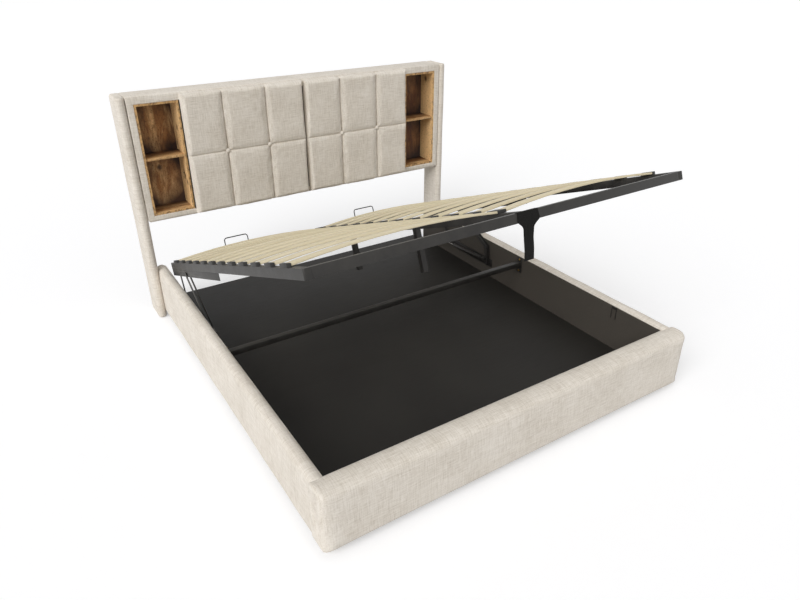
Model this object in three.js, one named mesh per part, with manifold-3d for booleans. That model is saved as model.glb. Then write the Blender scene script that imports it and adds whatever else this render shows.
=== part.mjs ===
// Storage bed with a padded headboard, two open shelf niches and a slatted platform that lifts on arms.
// Millimetres, +Z up. The origin is on the floor at the middle of the bed.
// The footboard is at -Y, the headboard at +Y. The platform is raised, as in the photograph.
import * as THREE from "three";
import { mergeVertices } from "three/addons/utils/BufferGeometryUtils.js";
import Module from "manifold-3d";

const wasm = await Module();
wasm.setup();

// Whole bed
const bedLength = 2376.6;
const innerWidth = 1940;
const fitGap = 0.3; // between pieces that meet
const weld = 1; // how far welded or glued shapes sink into each other
const cutOverrun = 5; // how far a cut runs past the faces it opens

// Upholstered side rails
const railThickness = 61;
const railBottom = 36;
const railEdgeHeight = 271; // from the rail's underside to the edge of its fabric inside
const railCrown = 22;
const railBulge = 2.5;
const railEndSetback = 76; // from the back of the headboard to the rail's rounded end
const railEndRadius = 25;

// Upholstered footboard
const footThickness = 117.6;
const footProud = 9; // past the outer faces of the rails
const footCrown = 26;
const footBulge = 3;
const footEndRadius = 30;

// Plinth under the footboard
const plinthSetback = 45;
const plinthEndSetback = 110;
const plinthDepth = 70;

// Floor panel of the storage box
const floorTop = 55;
const floorThickness = 15;
const floorSetback = 16; // from the back of the headboard

// Headboard wings, which stand on the floor
const wingThickness = 50;
const wingDepth = 173;
const wingHeight = 1347;
const wingFrontRadius = 24;
const wingBackRadius = 8;
const wingEndRadius = 9;

// Upholstered surround of the headboard
const headDepth = 165;
const headBottom = 626;
const headHeight = 720;
const endStrip = 37;
const bottomStrip = 38.5;
const topStrip = 42.5;
const faceBoardThickness = 18;
const backPanelThickness = 9;
const backPanelInset = 1;

// Open niches with one shelf each
const nicheWidth = 242;
const nicheWall = 13;
const nicheRecess = 3;
const nicheDepth = 152;
const nicheBackWall = 12;
const shelfThickness = 13;
const shelfRise = 327.5; // middle of the shelf above the bottom strip
const shelfSetback = 2;
const cableHoleRadius = 32;
const cableHoleRise = 190.5;
const cableHoleFromBack = 54;

// Padded panels, tufted in three columns and two rows
const panelSideGap = 5; // to the niche beside it
const panelHeight = 706;
const panelDepth = 36;
const panelRise = 9; // above the underside of the surround
const panelGap = 8;
const panelEdgeRadius = 18;
const seamShares = [0.333, 0.685];
const crossSeamShare = 0.5;
const seamDepth = 9;
const seamHalfWidth = 14;
const crossSeamDepth = 4;
const crossSeamHalfWidth = 12;
const tuftDepth = 11;
const tuftReach = 34;
const buttonRadius = 13;
const buttonHeight = 7;
const edgeStepShares = [0, 0.08, 0.3, 0.65, 1]; // of the edge radius
const seamStepShares = [-1.9, -0.8, 0, 0.8, 1.9]; // of a seam's half width
const cellStepShares = [0.5];

// Cross bar between the rails, with a bolted plate at each end
const barFromPivot = 299.4; // its middle, ahead of the lift arms' pivots
const barSection = 30;
const barWall = 2;
const barTop = 279;
const barPlateThickness = 4;
const barPlateWidth = 40;
const barPlateHeight = 102;
const barPlateTop = 306;
const boltPitch = 76;
const boltDrop = 13; // upper bolt below the plate's top
const boltRadius = 7;
const boltHead = 4;

// Wire clip over the edge of the right rail
const clipFromFoot = 300;
const clipWidth = 35;
const clipPlateHeight = 14;
const clipPlateThickness = 3;
const clipWireRadius = 2;
const clipWireLength = 58;

// Slatted platform, a frame of square-cornered steel tube
const platformSideGap = 11.6; // to each side rail
const platformLength = 2158;
const beamHeight = 40;
const beamWidth = 30;
const beamWall = 2;
const beamCornerRadius = 6;
const closedFootGap = 9.7; // to the footboard when it is down
const closedBarGap = 1.7; // above the cross bar when it is down
const legFromHead = 582; // the rear leg, from the platform's head end
const legSpacing = 739;
const legWidth = 28;
const legDepth = 32;
const legFloorGap = 2;

// Sprung slats and their end holders
const slatCount = 12;
const slatWidth = 66;
const slatThickness = 10;
const slatArch = 26;
const slatFootMargin = 182;
const slatHeadMargin = 128;
const slatSteps = 8;
const holderWidth = 70;
const holderHeight = 14.6;
const sideHolderDepth = 18;
const sideHolderInset = 2; // from the outer face of the side beam
const centreHolderDepth = 46;
const pocketDepth = 13;
const pocketFloor = 2;
const pocketSlack = 0.6;

// Mattress retainers of bent wire on the head beam
const retainerWidth = 158;
const retainerHeight = 78;
const retainerBend = 16;
const retainerFromHead = 8;
const retainerLeftOffset = 532.5;
const retainerRightOffset = 400.5;
const wireRadius = 3.5;
const wireSides = 8;
const wireSteps = 26;

// Woven pull strap on the foot beam
const strapOffset = 5;
const strapTopWidth = 106;
const strapWideWidth = 116;
const strapNeckWidth = 57;
const strapBandWidth = 52;
const strapThickness = 2.4;
const strapWrap = 18;
const strapNeckDrop = 26;
const strapBandDrop = 150;
const strapSway = 5; // towards the foot, at most
const strapLean = 22; // sideways, at the end of the band
const neckDropShares = [0.45, 1];
const neckWidthShares = [0.35, 0]; // from the neck's width to the widest
const bandDropShares = [0.3, 0.65, 1];
const bandSwayShares = [0.6, 1, 0];
const bandLeanShares = [0.15, 0.55, 1];

// Lift mechanism: angles in degrees from the closed platform to the raised one.
// Places along the bed are measured from the head end of the platform when it is down.
const liftTilt = 21.28;
const armSwing = 26.34;
const armPivotFromHead = 797.6;
const armPivotRise = 96.6; // above the storage floor
const armBendForward = 15.8;
const armBendRise = 118.8;
const armHeadFromHead = 368.2; // along the platform, from its head end
const armHeadDrop = 60; // below the top of the platform's beams
const armWidth = 22; // across both plates
const armPlate = 3;
const armStripWidth = 26;
const armWebShare = 0.72; // of the lower part, from the pivot up
const armEyeRadius = 14;
const pivotPinRadius = 6;
const pinSlack = 0.35;
const sideSlack = 1.5;

// Upper bracket, a flange under each side beam
const bracketLength = 1067;
const bracketHeight = 36.7;
const bracketThickness = 3;

// Lower bracket, screwed to each side rail
const lowerPlateThickness = 4;
const lowerPlateHeight = 56;
const lowerPlateMargin = 34; // past the outer pivots
const lowerPlateDrop = 24; // its lower edge below the arm pivot

// Rear links
const linkPivotFromHead = 361.8;
const linkPivotRise = 94.5;
const linkHeadFromHead = 158; // along the platform, from its head end
const linkHeadDrop = 64;
const linkThickness = 4;
const linkStripWidth = 24;
const linkEyeRadius = 16;
const linkPinRadius = 5;
const linkHeadSlack = 6; // play at the link's upper eye
const linkBracketGap = 3.9;

// Gas springs
const gasArmForward = 8.5; // from the arm pivot
const gasArmRise = 38.8;
const gasEndFromHead = 297;
const gasEndRise = 103;
const gasOffset = 19.8; // inboard of the arm's inner plate
const gasRadius = 11;
const gasRodRadius = 4.5;
const gasRodSlack = 0.4;
const gasTubeLength = 300;
const gasEyeRadius = 11;
const gasEyeThickness = 12;
const gasEyeReach = 26;
const gasPinRadius = 4;
const gasHeadSlack = 1.7; // play at the arm end
const gasEndPinRadius = 5;

// Facets
const roundSides = 16;
const smallRoundSides = 10;
const arcSteps = 4;
const crownSteps = 10;
const bulgeSteps = 4;

// Places worked out from the sizes above
const footFrontY = -bedLength / 2;
const headBackY = bedLength / 2;
const footInnerY = footFrontY + footThickness;
const railInnerX = innerWidth / 2;
const railOuterX = railInnerX + railThickness;
const railHeadY = headBackY - railEndSetback;
const wingInnerX = railOuterX + fitGap;
const headFrontY = headBackY - headDepth;
const nicheOuterX = railOuterX - endStrip;
const nicheInnerX = nicheOuterX - nicheWidth;
const panelWidth = nicheInnerX - panelSideGap - panelGap / 2;
const openBottom = headBottom + bottomStrip;
const openTop = headBottom + headHeight - topStrip;
const nicheFrontY = headFrontY + nicheRecess;
const nicheBackY = nicheFrontY + nicheDepth;
const shelfZ = openBottom + shelfRise;
const slatPitch = (platformLength - slatFootMargin - slatHeadMargin) / (slatCount - 1);
const platformHalf = railInnerX - platformSideGap;
const sideBeamInnerX = platformHalf - beamWidth;
const sideHolderOuterX = platformHalf - sideHolderInset;
const sideHolderInnerX = sideHolderOuterX - sideHolderDepth;
const closedTop = barTop + closedBarGap + beamHeight;
const closedFootY = footInnerY + closedFootGap;
const closedHeadY = closedFootY + platformLength;
const legLength = closedTop - beamHeight - floorTop - legFloorGap;
const armOuterX = railInnerX - lowerPlateThickness - sideSlack;
const armInnerX = armOuterX - armWidth;
const bracketInnerX = platformHalf - bracketThickness;
const linkOuterX = bracketInnerX - linkBracketGap;
const gasX = armInnerX - gasOffset;

// A point of the mechanism's side view, as (y, z)
function sidePoint(y, z) {
  return new THREE.Vector2(y, z);
}

// The point turned about a centre, counter-clockwise seen with +Y to the right
function turned(point, centre, degrees) {
  return point.clone().rotateAround(centre, THREE.MathUtils.degToRad(degrees));
}

const armPivot = sidePoint(closedHeadY - armPivotFromHead, floorTop + armPivotRise);
const armBend = armPivot.clone().add(sidePoint(armBendForward, armBendRise));
const armHeadOnPlatform = sidePoint(platformLength - armHeadFromHead, -armHeadDrop);
const armHeadClosed = sidePoint(closedFootY, closedTop).add(armHeadOnPlatform);
const armHead = turned(armHeadClosed, armPivot, armSwing);
const platformOrigin = armHead.clone().sub(turned(armHeadOnPlatform, sidePoint(0, 0), -liftTilt));
const linkPivot = sidePoint(closedHeadY - linkPivotFromHead, floorTop + linkPivotRise);
const linkHeadOnPlatform = sidePoint(platformLength - linkHeadFromHead, -linkHeadDrop);
const linkHead = onPlatform(linkHeadOnPlatform.x, linkHeadOnPlatform.y);
const gasHead = armPivot.clone().add(sidePoint(gasArmForward, gasArmRise));
const gasEnd = sidePoint(closedHeadY - gasEndFromHead, floorTop + gasEndRise);
const barY = armPivot.x - barFromPivot;

// A place on the raised platform: u runs from its foot end to its head end, v is square to it
function onPlatform(u, v) {
  return platformOrigin.clone().add(turned(sidePoint(u, v), sidePoint(0, 0), -liftTilt));
}

// Materials
const linen = new THREE.MeshStandardMaterial({ color: 0xdcd3c6, roughness: 0.95 });
const rusticWood = new THREE.MeshStandardMaterial({ color: 0x7b5230, roughness: 0.7 });
const darkBoard = new THREE.MeshStandardMaterial({ color: 0x33302d, roughness: 0.6 });
const blackSteel = new THREE.MeshStandardMaterial({ color: 0x3a3836, roughness: 0.45, metalness: 0.4 });
const beech = new THREE.MeshStandardMaterial({ color: 0xe0d5bc, roughness: 0.6 });
const webbing = new THREE.MeshStandardMaterial({ color: 0x2c2a28, roughness: 0.9 });
const springSteel = new THREE.MeshStandardMaterial({ color: 0x9a9a98, roughness: 0.3, metalness: 0.9 });

// Solids

function solidOf(geometry) {
  const bare = geometry.clone();
  bare.deleteAttribute("normal");
  bare.deleteAttribute("uv");
  const merged = mergeVertices(bare);
  return new wasm.Manifold(
    new wasm.Mesh({
      numProp: 3,
      vertProperties: merged.attributes.position.array,
      triVerts: new Uint32Array(merged.index.array),
    }),
  );
}

function geometryOf(solid) {
  const mesh = solid.getMesh();
  const geometry = new THREE.BufferGeometry();
  geometry.setAttribute("position", new THREE.BufferAttribute(mesh.vertProperties, mesh.numProp));
  geometry.setIndex(new THREE.BufferAttribute(mesh.triVerts, 1));
  return geometry;
}

function joined(geometries) {
  return geometryOf(geometries.map(solidOf).reduce((sum, solid) => sum.add(solid)));
}

function cut(geometry, tools) {
  return geometryOf(tools.map(solidOf).reduce((left, tool) => left.subtract(tool), solidOf(geometry)));
}

function box(x0, x1, y0, y1, z0, z1) {
  const geometry = new THREE.BoxGeometry(x1 - x0, y1 - y0, z1 - z0);
  return geometry.translate((x0 + x1) / 2, (y0 + y1) / 2, (z0 + z1) / 2);
}

// A round pin along X at a point of the side view
function pin(x0, x1, at, radius, sides = roundSides) {
  const geometry = new THREE.CylinderGeometry(radius, radius, x1 - x0, sides);
  return geometry.rotateZ(Math.PI / 2).translate((x0 + x1) / 2, at.x, at.y);
}

// A plate in the side view with the given outline, between two X planes
function sidePlate(shape, x0, x1) {
  const geometry = new THREE.ExtrudeGeometry(shape, {
    depth: x1 - x0,
    bevelEnabled: false,
    curveSegments: arcSteps,
  });
  // The outline's own X and Y become the bed's Y and Z, and its depth runs along X
  const turn = new THREE.Matrix4().makeBasis(
    new THREE.Vector3(0, 1, 0),
    new THREE.Vector3(0, 0, 1),
    new THREE.Vector3(1, 0, 0),
  );
  return geometry.applyMatrix4(turn).translate(x0, 0, 0);
}

// A strip with round ends between two points of the side view
function stripOutline(from, to, endRadius) {
  const direction = to.clone().sub(from).angle();
  const shape = new THREE.Shape();
  shape.absarc(from.x, from.y, endRadius, direction + Math.PI / 2, direction + Math.PI * 1.5, false);
  shape.absarc(to.x, to.y, endRadius, direction - Math.PI / 2, direction + Math.PI / 2, false);
  shape.closePath();
  return shape;
}

// A closed skin through rings of points that all have the same count, capped at both ends
function loft(rings) {
  const count = rings[0].length;
  const points = rings.flat();
  const indices = [];
  for (let i = 0; i + 1 < rings.length; i++) {
    for (let j = 0; j < count; j++) {
      const a = i * count + j;
      const b = i * count + ((j + 1) % count);
      indices.push(a, b, b + count, a, b + count, a + count);
    }
  }
  const last = (rings.length - 1) * count;
  const caps = THREE.ShapeUtils.triangulateShape(capOutline(rings[0]), []);
  for (const [a, b, c] of caps) {
    indices.push(a, c, b);
    indices.push(last + a, last + b, last + c);
  }
  return facingOut(points, indices);
}

// A ring's outline in its own plane, for cutting its cap into triangles
function capOutline(ring) {
  const normal = new THREE.Vector3();
  ring.forEach((point, i) => normal.add(point.clone().cross(ring[(i + 1) % ring.length])));
  const across = ring[1].clone().sub(ring[0]).normalize();
  const up = normal.clone().normalize().cross(across);
  return ring.map((point) => new THREE.Vector2(point.dot(across), point.dot(up)));
}

function facingOut(points, indices) {
  let volume = 0;
  for (let i = 0; i < indices.length; i += 3) {
    const [a, b, c] = indices.slice(i, i + 3).map((index) => points[index]);
    volume += a.dot(b.clone().cross(c));
  }
  if (volume < 0) indices.reverse();
  const geometry = new THREE.BufferGeometry().setFromPoints(points);
  return geometry.setIndex(indices);
}

// How far a rounded end of this radius draws a face in, at a distance from the end
function roundedInset(distance, radius) {
  if (distance >= radius) return 0;
  const back = radius - distance;
  return radius - Math.sqrt(radius * radius - back * back);
}

// Distances from an end at which a rounded end gets a ring, the last where it is full
function endSteps(radius) {
  return Array.from({ length: arcSteps + 1 }, (_, i) => {
    const angle = (i / arcSteps) * (Math.PI / 2);
    return radius * (1 - Math.cos(angle));
  });
}

// Outline of a padded board's section: flat inside face, domed top, slightly full outer face.
// The first number runs out from the inside face, the second up from the underside.
function paddedSection(thickness, edgeHeight, crown, bulge) {
  const points = [new THREE.Vector2(0, 0)];
  for (let i = 0; i <= crownSteps; i++) {
    const angle = Math.PI * (i / crownSteps);
    const out = (thickness / 2) * (1 - Math.cos(angle));
    points.push(new THREE.Vector2(out, edgeHeight + crown * Math.sin(angle)));
  }
  for (let i = 1; i < bulgeSteps; i++) {
    const share = i / bulgeSteps;
    points.push(new THREE.Vector2(thickness + bulge * Math.sin(Math.PI * share), edgeHeight * (1 - share)));
  }
  points.push(new THREE.Vector2(thickness, 0));
  return points;
}

// Pieces

const bed = new THREE.Group();
const platform = new THREE.Group();
platform.position.set(0, platformOrigin.x, platformOrigin.y);
platform.rotation.x = -THREE.MathUtils.degToRad(liftTilt);
bed.add(platform);

function place(name, geometry, material, parent = bed) {
  const mesh = new THREE.Mesh(geometry, material);
  mesh.name = name;
  parent.add(mesh);
  return mesh;
}

// The same piece on the right, and mirrored on the left
function placePair(name, geometry, material, parent = bed) {
  place(name + "_right", geometry, material, parent);
  place(name + "_left", geometry, material, parent).scale.x = -1;
}

// The rail's outer face is full along its free length and flat where the wing covers it
function sideRail() {
  const start = footInnerY + fitGap;
  const wingFrontY = headBackY - wingDepth;
  const free = wingFrontY - start;
  const height = railEdgeHeight + railCrown;
  const ring = (y, bulge, inset) =>
    paddedSection(railThickness, railEdgeHeight, railCrown, bulge).map((p) => {
      const x = railThickness / 2 + (p.x - railThickness / 2) * (1 - (2 * inset) / railThickness);
      return new THREE.Vector3(railInnerX + x, y, railBottom + p.y * (1 - inset / height));
    });
  const fullShares = [0, 0.05, 0.5, 0.95, 1];
  const along = fullShares.map((share) =>
    ring(start + free * share, railBulge * Math.sin(Math.PI * share), 0),
  );
  const end = endSteps(railEndRadius).map((step) =>
    ring(railHeadY - step, 0, roundedInset(step, railEndRadius)),
  );
  return loft([...along, ...end.reverse()]);
}

function footboard() {
  const half = railOuterX + footProud;
  const depth = footThickness - footBulge;
  const ring = (x, bulge, frontInset, backInset) =>
    paddedSection(depth, railEdgeHeight, footCrown, bulge).map((p) => {
      const out = backInset + p.x * (1 - (frontInset + backInset) / depth);
      return new THREE.Vector3(x, footInnerY - out, railBottom + p.y);
    });
  const steps = endSteps(footEndRadius);
  const right = steps.map((step) =>
    ring(half - step, 0, roundedInset(step, footEndRadius), roundedInset(step, footProud)),
  );
  const left = right.map((r) => r.map((p) => new THREE.Vector3(-p.x, p.y, p.z)));
  const fullShares = [-0.9, 0, 0.9];
  const middle = fullShares.map((share) =>
    ring(half * share, footBulge * Math.cos((Math.PI / 2) * share), 0, 0),
  );
  return loft([...left, ...middle, ...right.reverse()]);
}

function wing() {
  const outline = new THREE.Shape();
  const back = headBackY;
  const front = headBackY - wingDepth;
  const inner = wingInnerX;
  const outer = wingInnerX + wingThickness;
  const quarter = Math.PI / 2;
  const corner = (x, y, radius, turns) =>
    outline.absarc(x, y, radius, quarter * turns, quarter * (turns + 1));
  corner(inner + wingFrontRadius, front + wingFrontRadius, wingFrontRadius, 2);
  corner(outer - wingFrontRadius, front + wingFrontRadius, wingFrontRadius, 3);
  corner(outer - wingBackRadius, back - wingBackRadius, wingBackRadius, 0);
  corner(inner + wingBackRadius, back - wingBackRadius, wingBackRadius, 1);
  const points = outline.getPoints(arcSteps).slice(0, -1);
  const centre = new THREE.Vector2(wingInnerX + wingThickness / 2, (front + back) / 2);
  const ring = (z, inset) =>
    points.map((p) => {
      const x = centre.x + (p.x - centre.x) * (1 - (2 * inset) / wingThickness);
      const y = centre.y + (p.y - centre.y) * (1 - (2 * inset) / wingDepth);
      return new THREE.Vector3(x, y, z);
    });
  const steps = endSteps(wingEndRadius);
  const bottom = steps.map((step) => ring(step, roundedInset(step, wingEndRadius)));
  const top = steps.map((step) => ring(wingHeight - step, roundedInset(step, wingEndRadius)));
  return loft([...bottom, ...top.reverse()]);
}

function surround() {
  const outer = box(-railOuterX, railOuterX, headFrontY, headBackY, headBottom, headBottom + headHeight);
  const opening = box(
    -nicheOuterX,
    nicheOuterX,
    headFrontY - cutOverrun,
    headBackY + cutOverrun,
    openBottom,
    openTop,
  );
  return cut(outer, [opening]);
}

function faceBoard() {
  const half = nicheInnerX - fitGap;
  return box(-half, half, headFrontY, headFrontY + faceBoardThickness, openBottom, openTop);
}

function backPanel() {
  const back = headBackY - backPanelInset;
  return box(-nicheOuterX, nicheOuterX, back - backPanelThickness, back, openBottom, openTop);
}

// A niche is a five-sided wooden box. Only the left one has the cable hole, in the wall beside the panels.
function niche(withCableHole) {
  const shell = box(nicheInnerX, nicheOuterX, nicheFrontY, nicheBackY, openBottom, openTop);
  const hollow = box(
    nicheInnerX + nicheWall,
    nicheOuterX - nicheWall,
    nicheFrontY - cutOverrun,
    nicheBackY - nicheBackWall,
    openBottom + nicheWall,
    openTop - nicheWall,
  );
  if (!withCableHole) return cut(shell, [hollow]);
  const holeAt = sidePoint(nicheBackY - nicheBackWall - cableHoleFromBack, openBottom + cableHoleRise);
  const wallStart = nicheInnerX - cutOverrun;
  const wallEnd = nicheInnerX + nicheWall + cutOverrun;
  return cut(shell, [hollow, pin(wallStart, wallEnd, holeAt, cableHoleRadius)]);
}

function shelf() {
  return box(
    nicheInnerX + nicheWall,
    nicheOuterX - nicheWall,
    nicheFrontY + shelfSetback,
    nicheBackY - nicheBackWall,
    shelfZ - shelfThickness / 2,
    shelfZ + shelfThickness / 2,
  );
}

// Places across a padded panel at which its skin gets a line: close together at the edges and the seams
function panelLines(size, seams, seamHalf) {
  const lines = edgeStepShares.map((share) => share * panelEdgeRadius);
  lines.push(...lines.map((line) => size - line));
  seams.forEach((seam) => lines.push(...seamStepShares.map((share) => seam + share * seamHalf)));
  const stops = [0, ...seams, size];
  stops.slice(1).forEach((stop, i) => {
    lines.push(...cellStepShares.map((share) => stops[i] + (stop - stops[i]) * share));
  });
  return lines.sort((a, b) => a - b);
}

// How far a seam draws the padding in, at a distance across it
function seamDip(distance, halfWidth, depth) {
  return depth * Math.exp(-((distance / halfWidth) ** 2));
}

function paddedPanel() {
  const seams = seamShares.map((share) => share * panelWidth);
  const crossSeam = crossSeamShare * panelHeight;
  const xs = panelLines(panelWidth, seams, seamHalfWidth);
  const zs = panelLines(panelHeight, [crossSeam], crossSeamHalfWidth);
  const depthAt = (x, z) => {
    const edge = Math.min(x, panelWidth - x, z, panelHeight - z);
    const inset = roundedInset(edge, panelEdgeRadius);
    const dips = seams.map((seam) => seamDip(x - seam, seamHalfWidth, seamDepth));
    const tufts = seams.map((seam) => seamDip(Math.hypot(x - seam, z - crossSeam), tuftReach, tuftDepth));
    const cross = seamDip(z - crossSeam, crossSeamHalfWidth, crossSeamDepth);
    const fade = Math.min(1, edge / panelEdgeRadius);
    return panelDepth - inset - fade * Math.max(...dips, cross, ...tufts);
  };
  const left = panelGap / 2;
  const bottom = headBottom + panelRise;
  const at = (x, depth, z) => new THREE.Vector3(left + x, headFrontY - depth, bottom + z);
  const points = [];
  zs.forEach((z) => xs.forEach((x) => points.push(at(x, depthAt(x, z), z))));
  const columns = xs.length;
  const rows = zs.length;
  const indices = [];
  for (let row = 0; row + 1 < rows; row++) {
    for (let column = 0; column + 1 < columns; column++) {
      const a = row * columns + column;
      indices.push(a, a + 1, a + columns + 1, a, a + columns + 1, a + columns);
    }
  }
  // The skin's border, once round, joined to the same border on the flat back
  const border = [];
  for (let column = 0; column + 1 < columns; column++) border.push(column);
  for (let row = 0; row + 1 < rows; row++) border.push(row * columns + columns - 1);
  for (let column = columns - 1; column > 0; column--) border.push((rows - 1) * columns + column);
  for (let row = rows - 1; row > 0; row--) border.push(row * columns);
  const backStart = points.length;
  border.forEach((index) => points.push(points[index].clone().setY(headFrontY)));
  const centre = points.length;
  points.push(at(panelWidth / 2, 0, panelHeight / 2));
  border.forEach((index, i) => {
    const next = (i + 1) % border.length;
    indices.push(index, backStart + i, backStart + next, index, backStart + next, border[next]);
    indices.push(backStart + i, centre, backStart + next);
  });
  const skin = facingOut(points, indices);
  const buttons = seams.map((seam) => {
    const seat = panelDepth - tuftDepth;
    const dome = new THREE.SphereGeometry(buttonRadius, smallRoundSides, smallRoundSides / 2);
    const centre = at(seam, seat, crossSeam);
    return dome.scale(1, buttonHeight / buttonRadius, 1).translate(centre.x, centre.y, centre.z);
  });
  return joined([skin, ...buttons]);
}

function plinth() {
  const half = railOuterX - plinthEndSetback;
  const front = footFrontY + plinthSetback;
  return box(-half, half, front, front + plinthDepth, 0, railBottom);
}

function storageFloor() {
  const back = headBackY - floorSetback;
  return box(-railInnerX, railInnerX, footInnerY, back, floorTop - floorThickness, floorTop);
}

function crossBar() {
  const tubeEnd = railInnerX - weld;
  const front = barY - barSection / 2;
  const back = barY + barSection / 2;
  const shapes = [box(-tubeEnd, tubeEnd, front, back, barTop - barSection, barTop)];
  for (const side of [-1, 1]) {
    const outer = side * railInnerX;
    const inner = side * (railInnerX - barPlateThickness);
    const x0 = Math.min(outer, inner);
    const x1 = Math.max(outer, inner);
    const plateFront = barY - barPlateWidth / 2;
    const plateBack = barY + barPlateWidth / 2;
    shapes.push(box(x0, x1, plateFront, plateBack, barPlateTop - barPlateHeight, barPlateTop));
    for (const drop of [boltDrop, boltDrop + boltPitch]) {
      const headInner = inner - side * boltHead;
      const head0 = Math.min(inner + side * weld, headInner);
      const head1 = Math.max(inner + side * weld, headInner);
      shapes.push(pin(head0, head1, sidePoint(barY, barPlateTop - drop), boltRadius, smallRoundSides));
    }
  }
  const hollow = box(
    -railInnerX - cutOverrun,
    railInnerX + cutOverrun,
    front + barWall,
    back - barWall,
    barTop - barSection + barWall,
    barTop - barWall,
  );
  return cut(joined(shapes), [hollow]);
}

function railClip() {
  const y = footInnerY + clipFromFoot;
  const top = railBottom + railEdgeHeight;
  const half = clipWidth / 2;
  const plate = box(
    railInnerX - clipPlateThickness,
    railInnerX,
    y - half,
    y + half,
    top - clipPlateHeight,
    top,
  );
  const legs = [-1, 1].map((side) => {
    const leg = new THREE.CylinderGeometry(clipWireRadius, clipWireRadius, clipWireLength, wireSides);
    const x = railInnerX - clipPlateThickness / 2 - clipWireRadius / 2;
    const z = top - clipPlateHeight + weld - clipWireLength / 2;
    return leg.rotateX(Math.PI / 2).translate(x, y + side * (half - clipWireRadius), z);
  });
  return joined([plate, ...legs]);
}

// Pieces of the platform, in its own frame: X across, Y from the foot end to the head end, Z square to it

function slatPlaces() {
  return Array.from({ length: slatCount }, (_, i) => slatFootMargin + i * slatPitch);
}

// The pocket that a slat's end sits in
function pocket(x0, x1, y) {
  const half = slatWidth / 2 + pocketSlack;
  return box(x0, x1, y - half, y + half, pocketFloor, pocketFloor + slatThickness + 2 * pocketSlack);
}

function sideBeam() {
  const r = beamCornerRadius;
  const outline = new THREE.Shape();
  outline.moveTo(sideBeamInnerX, 0);
  outline.lineTo(platformHalf - r, 0);
  outline.absarc(platformHalf - r, r, r, -Math.PI / 2, 0);
  outline.absarc(platformHalf - r, platformLength - r, r, 0, Math.PI / 2);
  outline.lineTo(sideBeamInnerX, platformLength);
  const tube = new THREE.ExtrudeGeometry(outline, {
    depth: beamHeight,
    bevelEnabled: false,
    curveSegments: arcSteps,
  }).translate(0, 0, -beamHeight);
  const half = holderWidth / 2;
  const holders = slatPlaces().map((y) =>
    box(sideHolderInnerX, sideHolderOuterX, y - half, y + half, -weld, holderHeight),
  );
  const pocketStart = sideHolderInnerX - cutOverrun;
  const pockets = slatPlaces().map((y) => pocket(pocketStart, sideHolderInnerX + pocketDepth, y));
  // The tube is hollow, open at the head end
  const hollow = box(
    sideBeamInnerX + beamWall,
    platformHalf - beamWall,
    beamWall,
    platformLength + cutOverrun,
    -beamHeight + beamWall,
    -beamWall,
  );
  return cut(joined([tube, ...holders]), [...pockets, hollow]);
}

// A flange under the side beam, which takes the lift arm's pin and carries the rear link's
function upperBracket() {
  const headEnd = platformLength - beamCornerRadius;
  const top = -beamHeight - fitGap;
  const flange = box(
    bracketInnerX,
    platformHalf,
    headEnd - bracketLength,
    headEnd,
    top - bracketHeight,
    top,
  );
  const armHole = pin(
    bracketInnerX - cutOverrun,
    platformHalf + cutOverrun,
    armHeadOnPlatform,
    pivotPinRadius + pinSlack,
  );
  const linkPin = pin(
    linkOuterX - linkThickness - fitGap,
    bracketInnerX + weld,
    linkHeadOnPlatform,
    linkPinRadius,
  );
  return joined([cut(flange, [armHole]), linkPin]);
}

function endBeam(fromFoot) {
  const half = sideBeamInnerX - fitGap;
  const tube = box(-half, half, fromFoot, fromFoot + beamWidth, -beamHeight, 0);
  const hollow = box(
    -half - cutOverrun,
    half + cutOverrun,
    fromFoot + beamWall,
    fromFoot + beamWidth - beamWall,
    -beamHeight + beamWall,
    -beamWall,
  );
  return cut(tube, [hollow]);
}

function centreBeam() {
  const half = beamWidth / 2;
  const start = beamWidth + fitGap;
  const tube = box(-half, half, start, platformLength - start, -beamHeight, 0);
  const halfHolder = centreHolderDepth / 2;
  const holders = slatPlaces().map((y) =>
    box(-halfHolder, halfHolder, y - holderWidth / 2, y + holderWidth / 2, -weld, holderHeight),
  );
  const pockets = slatPlaces().flatMap((y) => [
    pocket(-halfHolder - cutOverrun, -halfHolder + pocketDepth, y),
    pocket(halfHolder - pocketDepth, halfHolder + cutOverrun, y),
  ]);
  const overhangs = slatPlaces().flatMap((y) => [
    box(-halfHolder - cutOverrun, -half, y - holderWidth, y + holderWidth, -cutOverrun, 0),
    box(half, halfHolder + cutOverrun, y - holderWidth, y + holderWidth, -cutOverrun, 0),
  ]);
  const rearLegY = platformLength - legFromHead;
  const legs = [rearLegY - legSpacing, rearLegY].map((y) =>
    box(
      -legWidth / 2,
      legWidth / 2,
      y - legDepth / 2,
      y + legDepth / 2,
      -beamHeight - legLength,
      -beamHeight + weld,
    ),
  );
  const hollow = box(
    -half + beamWall,
    half - beamWall,
    start - cutOverrun,
    platformLength - start + cutOverrun,
    -beamHeight + beamWall,
    -beamWall,
  );
  return joined([cut(joined([tube, ...holders]), [...pockets, ...overhangs, hollow]), ...legs]);
}

// A slat is level in its pockets and arched between them
function slat() {
  const centreMouth = centreHolderDepth / 2;
  const tongue = pocketDepth - pocketSlack;
  const level = pocketFloor + pocketSlack + slatThickness / 2;
  const half = slatWidth / 2;
  const ring = (x, rise) => {
    const low = level + rise - slatThickness / 2;
    const high = low + slatThickness;
    return [
      new THREE.Vector3(x, -half, low),
      new THREE.Vector3(x, half, low),
      new THREE.Vector3(x, half, high),
      new THREE.Vector3(x, -half, high),
    ];
  };
  const rings = [ring(centreMouth - tongue, 0)];
  for (let i = 0; i <= slatSteps; i++) {
    const share = i / slatSteps;
    const rise = slatArch * (1 - (2 * share - 1) ** 2);
    rings.push(ring(centreMouth + (sideHolderInnerX - centreMouth) * share, rise));
  }
  rings.push(ring(sideHolderInnerX + tongue, 0));
  return loft(rings);
}

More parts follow.
